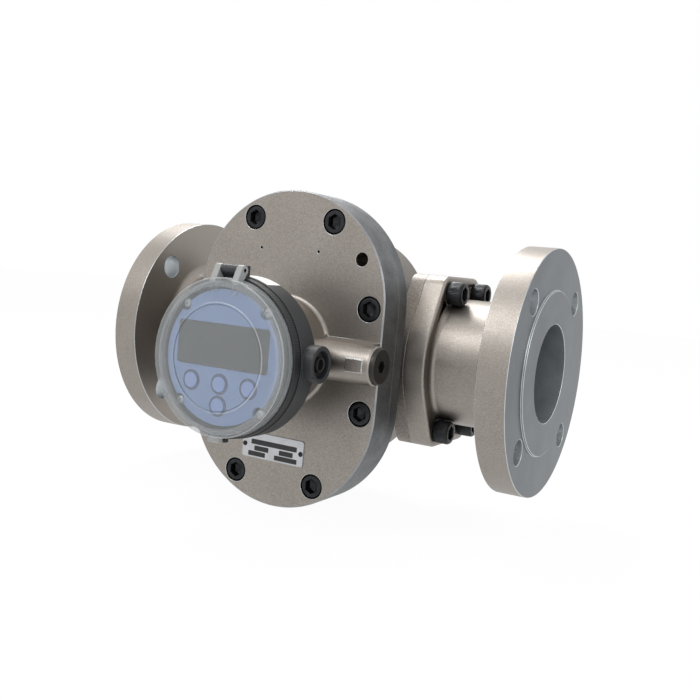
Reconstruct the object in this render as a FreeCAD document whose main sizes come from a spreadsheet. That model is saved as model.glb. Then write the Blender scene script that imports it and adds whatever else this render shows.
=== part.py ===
import FreeCAD, Part
import math
import os
from enum import IntEnum

import Sketcher
from FreeCAD import Placement, Rotation, Vector

# Flanged oval gear flow meter with a round display on its front cover.
# X runs along the pipe, Z is up and -Y is the display side.
# The origin is on the pipe axis, in the plane of the inlet flange round its bolt holes.
# Front distances are measured from the pipe axis towards -Y.
# Everything is worked out about the middle of the meter, then moved along X to its place.

SIZES = {
    # Pipe line
    "face_to_face": 355.0,
    "flange_radius": 95.25,
    "flange_thickness": 22.4,
    "raised_face_radius": 63.5,
    "raised_face_height": 1.6,
    "pipe_bore_radius": 38.0,
    "flange_bolt_circle": 76.2,
    "flange_hole_radius": 9.5,
    # Adapters between the meter body and the pipe flanges
    "pad_thickness": 17.5,
    "pad_core_radius": 60.0,
    "pad_ear_radius": 13.0,
    "pad_ear_depth": 25.0,
    "pad_ear_height": 54.0,
    "neck_radius": 50.0,
    "neck_fillet": 9.0,
    "neck_root_fillet": 4.0,
    "port_flange_thickness": 12.0,
    "cast_edge": 2.5,
    # Cap screws
    "cap_head_radius": 9.0,
    "cap_head_height": 12.0,
    "cap_shank_radius": 6.0,
    "cap_socket_flats": 10.0,
    "cap_socket_depth": 6.5,
    "cap_edge": 0.8,
    "spot_face_gap": 0.4,
    "adapter_screw_length": 28.0,
    "cover_screw_length": 23.5,
    "screw_gap": 0.05,
    "through_hole_gap": 0.6,
    # Meter body and front cover
    "gear_offset": 38.0,
    "rim_radius": 82.5,
    "seam_front": 77.0,
    "body_rim_thickness": 13.0,
    "cover_thickness": 23.3,
    "cover_edge": 1.0,
    "case_radius": 63.5,
    "case_offset": 30.5,
    "case_rear": 20.0,
    "case_rear_fillet": 6.0,
    "cover_bolt_circle": 70.0,
    "counterbore_gap": 0.4,
    "head_recess": 0.3,
    "jack_hole_radius": 5.0,
    "dowel_radius": 4.0,
    "dowel_bite": 9.0,
    "port_throat_reach": 60.0,
    "port_mouth_reach": 28.0,
    "port_mouth_radius": 24.0,
    "port_mouth_front": 22.0,
    "port_root_radius": 30.0,
    "port_barrel_radius": 52.0,
    # Seals
    "seal_width": 3.6,
    "seal_height": 2.7,
    "seal_side_gap": 0.2,
    "cover_seal_radius": 53.5,
    "port_seal_radius": 44.5,
    # Measuring chamber and oval gears
    "chamber_depth": 84.0,
    "gear_long_radius": 46.0,
    "gear_tip_gap": 0.15,
    "tooth_depth": 4.2,
    "shaft_radius": 8.0,
    "shaft_bite": 8.0,
    "shaft_running_gap": 0.05,
    "bush_wall": 4.0,
    "washer_radius": 14.0,
    "washer_thickness": 1.5,
    "gear_end_gap": 0.2,
    "magnet_radius": 3.0,
    "magnet_length": 5.0,
    "magnet_circle": 20.0,
    "magnet_gap": 0.05,
    # Boss, sensor pocket and cable conduit of the cover
    "boss_radius": 40.0,
    "boss_front": 139.2,
    "boss_fillet": 3.5,
    "pocket_radius": 28.0,
    "pocket_floor_front": 92.0,
    "conduit_front": 114.0,
    "conduit_drop": 0.2,
    "conduit_radius": 14.2,
    "conduit_base_half": 15.6,
    "conduit_foot_radius": 1.5,
    "conduit_reach": 88.0,
    "conduit_tip_length": 6.5,
    "conduit_bore_radius": 8.5,
    "land_inset": 11.4,
    "land_width": 13.0,
    "land_height": 9.2,
    "land_rise": 0.25,
    "plug_radius": 10.0,
    "plug_depth": 14.0,
    "plug_collar_radius": 13.2,
    "plug_collar_height": 3.5,
    "plug_edge": 1.0,
    "plug_socket_flats": 8.5,
    "plug_socket_depth": 7.0,
    # Pick-up board in the boss
    "pickup_half_width": 11.5,
    "pickup_half_height": 23.5,
    "pickup_corner": 1.5,
    "board_thickness": 1.6,
    "pickup_can_radius": 3.0,
    "pickup_can_height": 4.0,
    "pickup_screw_radius": 1.25,
    "pickup_screw_length": 8.0,
    "pickup_screw_margin": 0.6,
    "pickup_can_gap": 0.8,
    "small_head_radius": 2.4,
    "small_head_height": 1.8,
    # Nameplate
    "plate_width": 55.6,
    "plate_height": 19.7,
    "plate_thickness": 0.8,
    "plate_corner": 2.0,
    "plate_centre": -1.6,
    "plate_offset": 76.0,
    "plate_pin_spacing": 51.0,
    "plate_pin_radius": 1.0,
    "plate_pin_bite": 5.0,
    "plate_pin_head_radius": 1.9,
    "plate_pin_head_height": 0.9,
    # Display housing
    "display_drop": 2.5,
    "gasket_thickness": 0.8,
    "gasket_inset": 0.5,
    "housing_radius": 57.0,
    "housing_wall": 4.0,
    "housing_floor": 4.0,
    "housing_rear_taper": 6.0,
    "housing_front": 163.7,
    "housing_cable_radius": 16.0,
    "housing_screw_circle": 34.0,
    "housing_screw_radius": 2.0,
    "housing_screw_length": 15.0,
    "housing_screw_head_radius": 3.5,
    "housing_screw_head_height": 2.8,
    "board_front": 164.8,
    "board_side_gap": 0.5,
    "board_post_radius": 2.6,
    "board_post_inset": 4.0,
    "gland_front": 150.1,
    "gland_rise": 2.0,
    "gland_radius": 12.9,
    "gland_stand_out": 7.5,
    "gland_inner_boss": 1.0,
    "gland_recess_radius": 9.6,
    "gland_recess_depth": 7.0,
    "gland_seal_radius": 6.5,
    "gland_hole_radius": 4.0,
    "gland_gap": 0.1,
    "battery_radius": 7.25,
    "battery_length": 50.0,
    "battery_inset": 17.0,
    "label_glue": 0.05,
    "label_thickness": 0.25,
    "label_sweep": 22.0,
    "label_start": 66.0,
    "label_width": 15.5,
    "label_margin": 1.8,
    # Bezel and its seal
    "bezel_seal_thickness": 0.6,
    "bezel_seal_inner_gap": 0.4,
    "bezel_seal_inset": 1.0,
    "bezel_inset": 0.7,
    "bezel_shoulder_front": 171.2,
    "bezel_front": 172.7,
    # Fascia with its window, keys and screws
    "fascia_ledge": 4.6,
    "fascia_bearing": 1.5,
    "fascia_thickness": 3.5,
    "fascia_screw_inset": 9.0,
    "fascia_screw_notch": 4.6,
    "fascia_screw_head_radius": 3.4,
    "fascia_screw_head_height": 2.4,
    "fascia_screw_radius": 1.5,
    "fascia_screw_length": 19.0,
    "fascia_post_wall": 2.0,
    "blind_hole_spare": 1.0,
    "window_side_margin": 8.5,
    "window_top_margin": 23.85,
    "window_corner": 2.5,
    "window_gap": 0.1,
    "window_thickness": 2.0,
    "window_recess": 0.3,
    "lcd_margin": 1.5,
    "lcd_corner": 1.0,
    "key_radius": 5.6,
    "key_gap": 0.25,
    "key_lip": 1.2,
    "key_lip_thickness": 1.0,
    "key_rest_gap": 0.2,
    "key_rise": 0.9,
    "key_edge": 0.6,
    "key_spacing": 24.3,
    "key_row_pitch": 15.2,
    "key_rim_gap": 5.2,
    "key_window_gap": 4.15,
    "key_travel": 1.0,
    "switch_radius": 3.2,
    "switch_margin": 0.3,
    # Hinged lid
    "lid_inset": 1.3,
    "lid_fit_gap": 1.2,
    "lid_wall": 2.2,
    "lid_face": 2.2,
    "lid_rear_gap": 0.3,
    "lid_front": 182.2,
    "lid_edge": 2.5,
    "lid_ring_radius": 37.1,
    "lid_ring_width": 1.0,
    "lid_ring_height": 0.4,
    "hinge_front": 172.7,
    "hinge_stand_out": 5.5,
    "hinge_ear_radius": 3.6,
    "hinge_ear_width": 5.0,
    "ear_web_radius": 1.5,
    "ear_web_bite": 0.6,
    "ear_web_rear_inset": 4.2,
    "ear_web_front_inset": 3.2,
    "hinge_knuckle_half": 6.3,
    "hinge_knuckle_radius": 3.4,
    "knuckle_web_radius": 1.4,
    "knuckle_web_inset": 2.0,
    "knuckle_lid_gap": 0.4,
    "hinge_plate_half": 10.0,
    "hinge_plate_front": 168.2,
    "hinge_side_gap": 0.4,
    "hinge_pin_radius": 1.5,
    "hinge_pin_gap": 0.05,
    "catch_half_width": 5.0,
    "catch_stand_out": 2.7,
    "catch_bite": 1.5,
    "catch_rear": 167.2,
    "tab_stand_out": 3.6,
    "tab_rear": 173.7,
    "tab_depth": 4.5,
}

GEAR_TEETH = 38
TOOTH_LAND = 0.30
TOOTH_ROOT = 0.26
COVER_BOLT_ANGLES = (0, 60, 120, 180)
JACK_ANGLE = 30
DOWEL_ANGLE = 150
FLANGE_HOLE_ANGLES = (45, 135, 225, 315)
HOUSING_SCREW_ANGLES = (30, 150, 210, 330)
BOARD_POST_ANGLES = (10, 170, 190, 350)
CORNER_ANGLES = (45, 135, 225, 315)
HEXAGON_SIDES = 6
HEAD_EDGE_SHARE = 0.12


class Point(IntEnum):
    """How a sketch names the points of a line or arc."""

    START = 1
    END = 2
    CENTRE = 3


doc = FreeCAD.newDocument("oval_gear_flow_meter")


class Size:
    """A length that knows both its number and the sheet formula that drives it."""

    def __init__(self, value, formula):
        self.value = value
        self.formula = formula

    def join(self, other, sign, value):
        """Return the Size that joins this one and another by an arithmetic sign."""
        return Size(value, f"({self.formula} {sign} {as_size(other).formula})")

    def __add__(self, other):
        return self.join(other, "+", self.value + number(other))

    def __sub__(self, other):
        return self.join(other, "-", self.value - number(other))

    def __mul__(self, other):
        return self.join(other, "*", self.value * number(other))

    def __truediv__(self, other):
        return self.join(other, "/", self.value / number(other))

    def __neg__(self):
        return Size(-self.value, f"(0 - {self.formula})")

    def __rsub__(self, other):
        return as_size(other) - self

    __radd__ = __add__
    __rmul__ = __mul__


def number(thing):
    """Return the plain number of a Size or a number."""
    return thing.value if isinstance(thing, Size) else float(thing)


def as_size(thing):
    """Return a Size for a Size or a plain number."""
    return thing if isinstance(thing, Size) else Size(float(thing), f"({float(thing)!r})")


class Sheet:
    """The spreadsheet of driving sizes, read by name."""

    def __init__(self, sizes):
        self.page = doc.addObject("Spreadsheet::Sheet", "Sizes")
        self.sizes = {}
        for row, (alias, value) in enumerate(sizes.items(), start=1):
            self.page.set(f"A{row}", alias.replace("_", " "))
            self.page.set(f"B{row}", str(value))
            self.page.setAlias(f"B{row}", alias)
            self.sizes[alias] = Size(value, f"Sizes.{alias}")

    def __getattr__(self, alias):
        return self.sizes[alias]


d = Sheet(SIZES)
doc.recompute()
middle = d.face_to_face / 2 - d.raised_face_height
pieces = []


# Binding of properties and sketches to the sheet

def bind(thing, path, size):
    """Drive one property of an object by a size."""
    thing.setExpression(path, as_size(size).formula)


def finish_piece(thing, label, drop=0.0):
    """Give a finished sub-part its name and its place along the pipe."""
    thing.Label = label
    bind(thing, "Placement.Base.x", middle)
    bind(thing, "Placement.Base.z", 0 - as_size(drop))
    doc.recompute()
    pieces.append(thing)
    return thing


def new_body(label, loose=False):
    """Start a body. A loose one may hold several separate solids."""
    body = doc.addObject("PartDesign::Body", label)
    body.AllowCompound = loose
    return body


def sketch(body, plane, offset=0.0):
    """Start a sketch on an origin plane of the body, moved along the plane's normal.

    XZ looks from the front, with its normal towards -Y. YZ has its normal towards +X.
    """
    page = body.newObject("Sketcher::SketchObject", f"{body.Name}_sketch")
    for feature in body.Origin.OriginFeatures:
        if feature.Role == f"{plane}_Plane":
            page.AttachmentSupport = [(feature, "")]
    page.MapMode = "FlatFace"
    bind(page, "AttachmentOffset.Base.z", offset)
    return page


def dimension(page, kind, where, size):
    """Add a driving dimension that follows a size."""
    index = page.addConstraint(Sketcher.Constraint(kind, *where, number(size)))
    page.setExpression(f"Constraints[{index}]", as_size(size).formula)


def pin_point(page, geometry, corner, across, up):
    """Fix one point of the geometry by its two coordinates."""
    dimension(page, "DistanceX", (geometry, corner), across)
    dimension(page, "DistanceY", (geometry, corner), up)


def circle(page, across, up, radius):
    """Draw a circle."""
    shape = Part.Circle(Vector(number(across), number(up), 0), Vector(0, 0, 1), number(radius))
    index = page.addGeometry(shape)
    dimension(page, "Radius", (index,), radius)
    pin_point(page, index, Point.CENTRE, across, up)


def polygon(page, points):
    """Draw a closed polygon through points given as pairs of sizes."""
    spots = [Vector(number(across), number(up), 0) for across, up in points]
    lines = [
        page.addGeometry(Part.LineSegment(spot, spots[(i + 1) % len(spots)]))
        for i, spot in enumerate(spots)
    ]
    for i, line in enumerate(lines):
        following = lines[(i + 1) % len(lines)]
        page.addConstraint(Sketcher.Constraint("Coincident", line, Point.END, following, Point.START))
    for line, (across, up) in zip(lines, points):
        pin_point(page, line, Point.START, across, up)


def hexagon(page, across, up, flats):
    """Draw a hexagon given by its width across flats."""
    corner = as_size(flats) / math.sqrt(3)
    turns = [math.tau * side / HEXAGON_SIDES for side in range(HEXAGON_SIDES)]
    polygon(page, [(across + corner * math.cos(a), up + corner * math.sin(a)) for a in turns])


def belt(page, discs):
    """Draw the outline that a tight belt takes round discs given anticlockwise as (x, y, radius)."""
    ring = [tuple(number(value) for value in disc) for disc in discs]
    leaving = []
    for (x1, y1, r1), (x2, y2, r2) in zip(ring, ring[1:] + ring[:1]):
        heading = math.atan2(y2 - y1, x2 - x1)
        leaving.append(heading - math.acos((r1 - r2) / math.hypot(x2 - x1, y2 - y1)))
    arcs = []
    ends = []
    for i, (x, y, radius) in enumerate(ring):
        start = leaving[i - 1]
        stop = start + (leaving[i] - start) % (2 * math.pi)
        arc = Part.ArcOfCircle(Part.Circle(Vector(x, y, 0), Vector(0, 0, 1), radius), start, stop)
        arcs.append(page.addGeometry(arc))
        ends.append((arc.StartPoint, arc.EndPoint))
    for i, arc in enumerate(arcs):
        following = (i + 1) % len(arcs)
        line = page.addGeometry(Part.LineSegment(ends[i][1], ends[following][0]))
        page.addConstraint(Sketcher.Constraint("Tangent", arc, Point.END, line, Point.START))
        page.addConstraint(Sketcher.Constraint("Tangent", line, Point.END, arcs[following], Point.START))
    for arc, (x, y, radius) in zip(arcs, discs):
        dimension(page, "Radius", (arc,), radius)
        pin_point(page, arc, Point.CENTRE, x, y)


def rounded_box(page, across, up, width, height, corner):
    """Draw a rectangle with round corners about a centre."""
    side = as_size(width) / 2 - corner
    rise = as_size(height) / 2 - corner
    signs = ((1, -1), (1, 1), (-1, 1), (-1, -1))
    belt(page, [(across + side * i, up + rise * j, corner) for i, j in signs])


def obround(page, offset, radius):
    """Draw an upright obround about the middle."""
    belt(page, [(0, as_size(offset), radius), (0, -as_size(offset), radius)])


def box_outline(page, left, right, low, high):
    """Draw a plain rectangle."""
    polygon(page, [(left, low), (right, low), (right, high), (left, high)])


# Features

def feature(body, kind, page):
    """Add a feature made from a sketch."""
    made = body.newObject(kind, f"{body.Name}_feature")
    made.Profile = page
    page.Visibility = False
    return made


def pad(body, page, length):
    """Raise a sketch along its plane's normal."""
    made = feature(body, "PartDesign::Pad", page)
    bind(made, "Length", length)
    doc.recompute()
    return made


def pocket(body, page, depth, forward=False):
    """Cut a sketch against its plane's normal, or along it when forward. It must remove metal."""
    before = body.Shape.Volume
    made = feature(body, "PartDesign::Pocket", page)
    bind(made, "Length", depth)
    made.Reversed = forward
    doc.recompute()
    if body.Shape.Volume >= before:
        raise RuntimeError(f"{body.Label}: a pocket removed nothing")
    return made


def turn(body, page, axis, cut=False):
    """Turn a sketch about its own H_Axis or V_Axis."""
    made = feature(body, "PartDesign::Groove" if cut else "PartDesign::Revolution", page)
    made.ReferenceAxis = (page, [axis])
    made.Angle = 360.0
    doc.recompute()
    return made


def edges_where(body, test):
    """Name the edges of the body's shape whose edge passes the test."""
    return [f"Edge{i}" for i, edge in enumerate(body.Shape.Edges, start=1) if test(edge)]


def dress(body, kind, names, size):
    """Fillet or chamfer the named edges of the body."""
    base = body.Tip
    made = body.newObject(f"PartDesign::{kind}", f"{body.Name}_{kind}")
    made.Base = (base, names)
    bind(made, "Radius" if kind == "Fillet" else "Size", size)
    doc.recompute()
    return made


def near(value, size):
    """Say whether a number is a size, to a hundredth of a millimetre."""
    return abs(value - number(size)) < 0.01


def flat_at(edge, axis, size):
    """Say whether a whole edge lies in the plane where one coordinate is a size."""
    box = edge.BoundBox
    low, high = ((box.XMin, box.XMax), (box.YMin, box.YMax), (box.ZMin, box.ZMax))[axis]
    return near(low, size) and near(high, size)


def at_front(*rows):
    """Turn (radius, front distance) pairs into sketch points for turning about Y."""
    return [(radius, 0 - as_size(front)) for radius, front in rows]


def spread(radius, angle, up=0.0):
    """Return the across and up places of a point on a circle."""
    across = as_size(radius) * math.cos(math.radians(angle))
    rise = as_size(radius) * math.sin(math.radians(angle)) + up
    return across, rise


# Places that several pieces share

cover_front = d.seam_front + d.cover_thickness
chamber_floor = d.seam_front - d.chamber_depth
chamber_radius = d.gear_long_radius + d.gear_tip_gap
joint_reach = d.rim_radius
pad_face_reach = joint_reach + d.pad_thickness
flange_back = d.raised_face_height + d.flange_thickness
cap_hole_radius = d.cap_shank_radius + d.screw_gap
housing_back = d.boss_front + d.gasket_thickness
housing_floor_front = housing_back + d.housing_floor
small_hole_gap = d.through_hole_gap / 2
conduit_start = (d.pocket_radius + d.boss_radius) / 2
conduit_block_reach = d.conduit_reach - d.conduit_tip_length
land_reach = d.conduit_reach - d.land_inset
housing_bore = d.housing_radius - d.housing_wall
gland_reach = d.housing_radius + d.gland_stand_out
battery_offset = housing_bore - d.battery_inset
bezel_back = d.housing_front + d.bezel_seal_thickness
bezel_radius = d.housing_radius - d.bezel_inset
lid_radius = bezel_radius - d.lid_inset
lid_bore = lid_radius - d.lid_wall
lid_rear = d.bezel_shoulder_front + d.lid_rear_gap
lid_inside = d.lid_front - d.lid_face
hinge_rise = lid_radius + d.hinge_stand_out
bezel_step_radius = lid_bore - d.lid_fit_gap
fascia_radius = bezel_step_radius - d.fascia_ledge
fascia_front = d.bezel_front + d.fascia_thickness
bezel_opening_radius = fascia_radius - d.fascia_bearing
fascia_screw_circle = d.housing_radius - d.fascia_screw_inset
fascia_post_radius = d.fascia_screw_radius + d.fascia_post_wall
board_back = d.board_front - d.board_thickness
board_radius = fascia_screw_circle - fascia_post_radius - d.board_side_gap
board_post_circle = board_radius - d.board_post_inset
key_lip_radius = d.key_radius + d.key_lip
low_key_drop = bezel_opening_radius - key_lip_radius - d.key_rim_gap
key_row_drop = low_key_drop - d.key_row_pitch
window_low = key_lip_radius + d.key_window_gap - key_row_drop
window_high = fascia_radius - d.window_top_margin
window_width = (fascia_radius - d.window_side_margin) * 2
window_height = window_high - window_low
window_rise = (window_high + window_low) / 2
gear_back = chamber_floor + d.washer_thickness + d.gear_end_gap
gear_length = d.chamber_depth - d.washer_thickness * 2 - d.gear_end_gap * 2
pad_discs = [
    (d.pad_ear_depth, -d.pad_ear_height, d.pad_ear_radius),
    (0, 0, d.pad_core_radius),
    (d.pad_ear_depth, d.pad_ear_height, d.pad_ear_radius),
    (-d.pad_ear_depth, d.pad_ear_height, d.pad_ear_radius),
    (0, 0, d.pad_core_radius),
    (-d.pad_ear_depth, -d.pad_ear_height, d.pad_ear_radius),
]
ear_holes = [(d.pad_ear_depth * i, d.pad_ear_height * j) for i in (-1, 1) for j in (-1, 1)]
cover_bolts = [
    (spread(d.cover_bolt_circle, angle * end)[0], spread(d.cover_bolt_circle, angle * end, d.gear_offset * end)[1])
    for end in (1, -1)
    for angle in COVER_BOLT_ANGLES
]


def diagonal_pair(angle):
    """Return two places on the cover's bolt circles, opposite each other through the middle."""
    across, rise = spread(d.cover_bolt_circle, angle, d.gear_offset)
    return [(across, rise), (-across, -rise)]


jack_holes = diagonal_pair(JACK_ANGLE)
dowel_holes = diagonal_pair(DOWEL_ANGLE)
plate_pins = [d.plate_centre + d.plate_pin_spacing / 2 * side for side in (-1, 1)]


# Meter body

def meter_body():
    """Cast body: obround rim and case, two port flanges, chamber and ports."""
    body = new_body("meter_body")
    page = sketch(body, "XZ", -d.case_rear)
    obround(page, d.case_offset, d.case_radius)
    pad(body, page, d.seam_front - d.body_rim_thickness + d.case_rear)
    rear = edges_where(body, lambda edge: flat_at(edge, 1, d.case_rear))
    dress(body, "Fillet", rear, d.case_rear_fillet)
    page = sketch(body, "XZ", d.seam_front - d.body_rim_thickness)
    obround(page, d.gear_offset, d.rim_radius)
    pad(body, page, d.body_rim_thickness)
    for side in (-1, 1):
        barrel_end = joint_reach - d.port_flange_thickness
        page = sketch(body, "XY")
        polygon(page, [
            (d.port_mouth_reach * side, 0),
            (d.port_mouth_reach * side, d.port_root_radius),
            (barrel_end * side, d.port_barrel_radius),
            (barrel_end * side, 0),
        ])
        turn(body, page, "H_Axis")
        start = barrel_end if side > 0 else -joint_reach
        page = sketch(body, "YZ", start)
        belt(page, pad_discs)
        pad(body, page, d.port_flange_thickness)
    for end in (-1, 1):
        page = sketch(body, "XZ", d.seam_front)
        circle(page, 0, d.gear_offset * end, chamber_radius)
        pocket(body, page, d.chamber_depth)
    for side in (-1, 1):
        page = sketch(body, "YZ", joint_reach * side)
        circle(page, 0, 0, d.pipe_bore_radius)
        pocket(body, page, joint_reach - d.port_throat_reach, forward=side < 0)
        throat = sketch(body, "YZ", d.port_throat_reach * side)
        circle(throat, 0, 0, d.pipe_bore_radius)
        mouth = sketch(body, "YZ", d.port_mouth_reach * side)
        circle(mouth, -d.port_mouth_front, 0, d.port_mouth_radius)
        before = body.Shape.Volume
        loft = feature(body, "PartDesign::SubtractiveLoft", throat)
        loft.Sections = [mouth]
        loft.Ruled = True
        doc.recompute()
        if body.Shape.Volume >= before:
            raise RuntimeError("a port passage removed nothing")
        page = sketch(body, "YZ", joint_reach * side)
        for half in (-0.5, 0.5):
            circle(page, 0, 0, d.port_seal_radius + (d.seal_width + d.seal_side_gap * 2) * half)
        pocket(body, page, d.seal_height, forward=side < 0)
        page = sketch(body, "YZ", joint_reach * side)
        for across, up in ear_holes:
            circle(page, across, up, cap_hole_radius)
        pocket(body, page, d.port_flange_thickness, forward=side < 0)
    page = sketch(body, "XZ", d.seam_front)
    for half in (-0.5, 0.5):
        obround(page, d.gear_offset, d.cover_seal_radius + (d.seal_width + d.seal_side_gap * 2) * half)
    pocket(body, page, d.seal_height)
    page = sketch(body, "XZ", d.seam_front)
    for across, up in cover_bolts:
        circle(page, across, up, cap_hole_radius)
    pocket(body, page, d.body_rim_thickness)
    page = sketch(body, "XZ", d.seam_front)
    for across, up in dowel_holes:
        circle(page, across, up, d.dowel_radius)
    pocket(body, page, d.dowel_bite)
    page = sketch(body, "XZ", chamber_floor)
    for end in (-1, 1):
        circle(page, 0, d.gear_offset * end, d.shaft_radius + d.screw_gap)
    pocket(body, page, d.shaft_bite)
    return finish_piece(body, "meter_body")


# Front cover

def front_cover():
    """Cover plate with the display boss, sensor pocket and cable conduit cast on it."""
    body = new_body("front_cover")
    page = sketch(body, "XZ", d.seam_front)
    obround(page, d.gear_offset, d.rim_radius)
    pad(body, page, d.cover_thickness)
    front = edges_where(body, lambda edge: flat_at(edge, 1, -cover_front))
    dress(body, "Chamfer", front, d.cover_edge)
    page = sketch(body, "XZ", cover_front)
    circle(page, 0, 0, d.boss_radius)
    pad(body, page, d.boss_front - cover_front)
    root = edges_where(
        body, lambda edge: flat_at(edge, 1, -cover_front) and near(edge.BoundBox.XMax, d.boss_radius)
    )
    dress(body, "Fillet", root, d.boss_fillet)
    conduit_up = -d.conduit_drop
    foot_front = cover_front - d.conduit_foot_radius
    foot_up = d.conduit_base_half - d.conduit_foot_radius
    page = sketch(body, "YZ", conduit_start)
    belt(page, [
        (-d.conduit_front, conduit_up, d.conduit_radius),
        (-foot_front, conduit_up - foot_up, d.conduit_foot_radius),
        (-foot_front, conduit_up + foot_up, d.conduit_foot_radius),
    ])
    pad(body, page, conduit_block_reach - conduit_start)
    page = sketch(body, "YZ", conduit_start)
    circle(page, -d.conduit_front, conduit_up, d.conduit_radius)
    pad(body, page, d.conduit_reach - conduit_start)
    tip = edges_where(body, lambda edge: flat_at(edge, 0, d.conduit_reach))
    dress(body, "Chamfer", tip, d.cover_edge)
    page = sketch(body, "XZ", d.conduit_front)
    box_outline(
        page, land_reach - d.land_width / 2, land_reach + d.land_width / 2,
        conduit_up - d.land_height / 2, conduit_up + d.land_height / 2,
    )
    pad(body, page, d.conduit_radius + d.land_rise)
    page = sketch(body, "XZ", cover_front)
    for across, up in cover_bolts:
        circle(page, across, up, d.cap_head_radius + d.counterbore_gap)
    pocket(body, page, d.cap_head_height + d.head_recess)
    page = sketch(body, "XZ", cover_front)
    for across, up in cover_bolts:
        circle(page, across, up, d.cap_shank_radius + d.through_hole_gap)
    for across, up in jack_holes:
        circle(page, across, up, d.jack_hole_radius)
    pocket(body, page, d.cover_thickness)
    page = sketch(body, "XZ", cover_front)
    for across in plate_pins:
        for end in (-1, 1):
            circle(page, across, d.plate_offset * end, d.plate_pin_radius + d.screw_gap)
    pocket(body, page, d.plate_pin_bite)
    page = sketch(body, "XZ", d.boss_front)
    circle(page, 0, 0, d.pocket_radius)
    pocket(body, page, d.boss_front - d.pocket_floor_front)
    page = sketch(body, "XZ", d.boss_front)
    for angle in HOUSING_SCREW_ANGLES:
        circle(page, *spread(d.housing_screw_circle, angle), d.housing_screw_radius + d.screw_gap)
    pocket(body, page, d.housing_screw_length)
    page = sketch(body, "XZ", d.pocket_floor_front)
    for end in (-1, 1):
        circle(page, 0, pickup_screw_up * end, d.pickup_screw_radius + d.screw_gap)
    pocket(body, page, d.pickup_screw_length - d.board_thickness)
    page = sketch(body, "YZ", d.conduit_reach)
    circle(page, -d.conduit_front, conduit_up, d.conduit_bore_radius)
    pocket(body, page, d.conduit_reach - d.pocket_radius / 2)
    page = sketch(body, "YZ", d.conduit_reach)
    circle(page, -d.conduit_front, conduit_up, d.plug_radius + d.screw_gap)
    pocket(body, page, d.plug_depth)
    page = sketch(body, "XZ", d.seam_front)
    for end in (-1, 1):
        circle(page, 0, d.gear_offset * end, d.shaft_radius + d.screw_gap)
    pocket(body, page, d.shaft_bite, forward=True)
    page = sketch(body, "XZ", d.seam_front)
    for across, up in dowel_holes:
        circle(page, across, up, d.dowel_radius)
    pocket(body, page, d.dowel_bite, forward=True)
    return finish_piece(body, "front_cover")


# Adapters with the pipe flanges

def adapter(label, side):
    """Cast adapter from the meter's port flange to a round pipe flange, turned to its side."""
    body = new_body(label)
    face = d.face_to_face / 2
    page = sketch(body, "XY")
    flange_root = face - flange_back
    polygon(page, [
        (joint_reach, d.pipe_bore_radius),
        (joint_reach, d.neck_radius),
        (flange_root, d.neck_radius),
        (flange_root, d.flange_radius),
        (face - d.raised_face_height, d.flange_radius),
        (face - d.raised_face_height, d.raised_face_radius),
        (face, d.raised_face_radius),
        (face, d.pipe_bore_radius),
    ])
    turn(body, page, "H_Axis")
    root = edges_where(
        body, lambda edge: flat_at(edge, 0, flange_root) and near(edge.BoundBox.ZMax, d.neck_radius)
    )
    dress(body, "Fillet", root, d.neck_fillet)
    page = sketch(body, "YZ", joint_reach)
    belt(page, pad_discs)
    circle(page, 0, 0, d.pipe_bore_radius)
    pad(body, page, d.pad_thickness)
    neck_end = Part.Vertex(number(pad_face_reach), 0, 0)
    outside = number(d.neck_radius + d.pad_core_radius) / 2
    rim = edges_where(
        body, lambda edge: flat_at(edge, 0, pad_face_reach) and edge.distToShape(neck_end)[0] > outside
    )
    dress(body, "Fillet", rim, d.cast_edge)
    root = edges_where(
        body, lambda edge: flat_at(edge, 0, pad_face_reach) and near(edge.BoundBox.ZMax, d.neck_radius)
    )
    dress(body, "Fillet", root, d.neck_root_fillet)
    page = sketch(body, "YZ", pad_face_reach + d.cap_head_height)
    for across, up in ear_holes:
        circle(page, across, up, d.cap_head_radius + d.spot_face_gap)
    pocket(body, page, d.cap_head_height)
    page = sketch(body, "YZ", pad_face_reach)
    for across, up in ear_holes:
        circle(page, across, up, d.cap_shank_radius + d.through_hole_gap)
    pocket(body, page, d.pad_thickness)
    page = sketch(body, "YZ", face)
    for angle in FLANGE_HOLE_ANGLES:
        circle(page, *spread(d.flange_bolt_circle, angle), d.flange_hole_radius)
    pocket(body, page, flange_back)
    if side < 0:
        body.Placement = Placement(Vector(0, 0, 0), Rotation(Vector(0, 0, 1), 180))
    return finish_piece(body, label)


# Screws, as groups of separate solids

def adapter_screws(label, side):
    """Four cap screws on the adapter's pad face."""
    body = new_body(label, loose=True)
    page = sketch(body, "YZ", pad_face_reach)
    for across, up in ear_holes:
        circle(page, across, up, d.cap_head_radius)
    pad(body, page, d.cap_head_height)
    top = edges_where(body, lambda edge: flat_at(edge, 0, pad_face_reach + d.cap_head_height))
    dress(body, "Chamfer", top, d.cap_edge)
    page = sketch(body, "YZ", pad_face_reach - d.adapter_screw_length)
    for across, up in ear_holes:
        circle(page, across, up, d.cap_shank_radius)
    pad(body, page, d.adapter_screw_length)
    page = sketch(body, "YZ", pad_face_reach + d.cap_head_height)
    for across, up in ear_holes:
        hexagon(page, across, up, d.cap_socket_flats)
    pocket(body, page, d.cap_socket_depth)
    if side < 0:
        body.Placement = Placement(Vector(0, 0, 0), Rotation(Vector(0, 0, 1), 180))
    return finish_piece(body, label)


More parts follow.
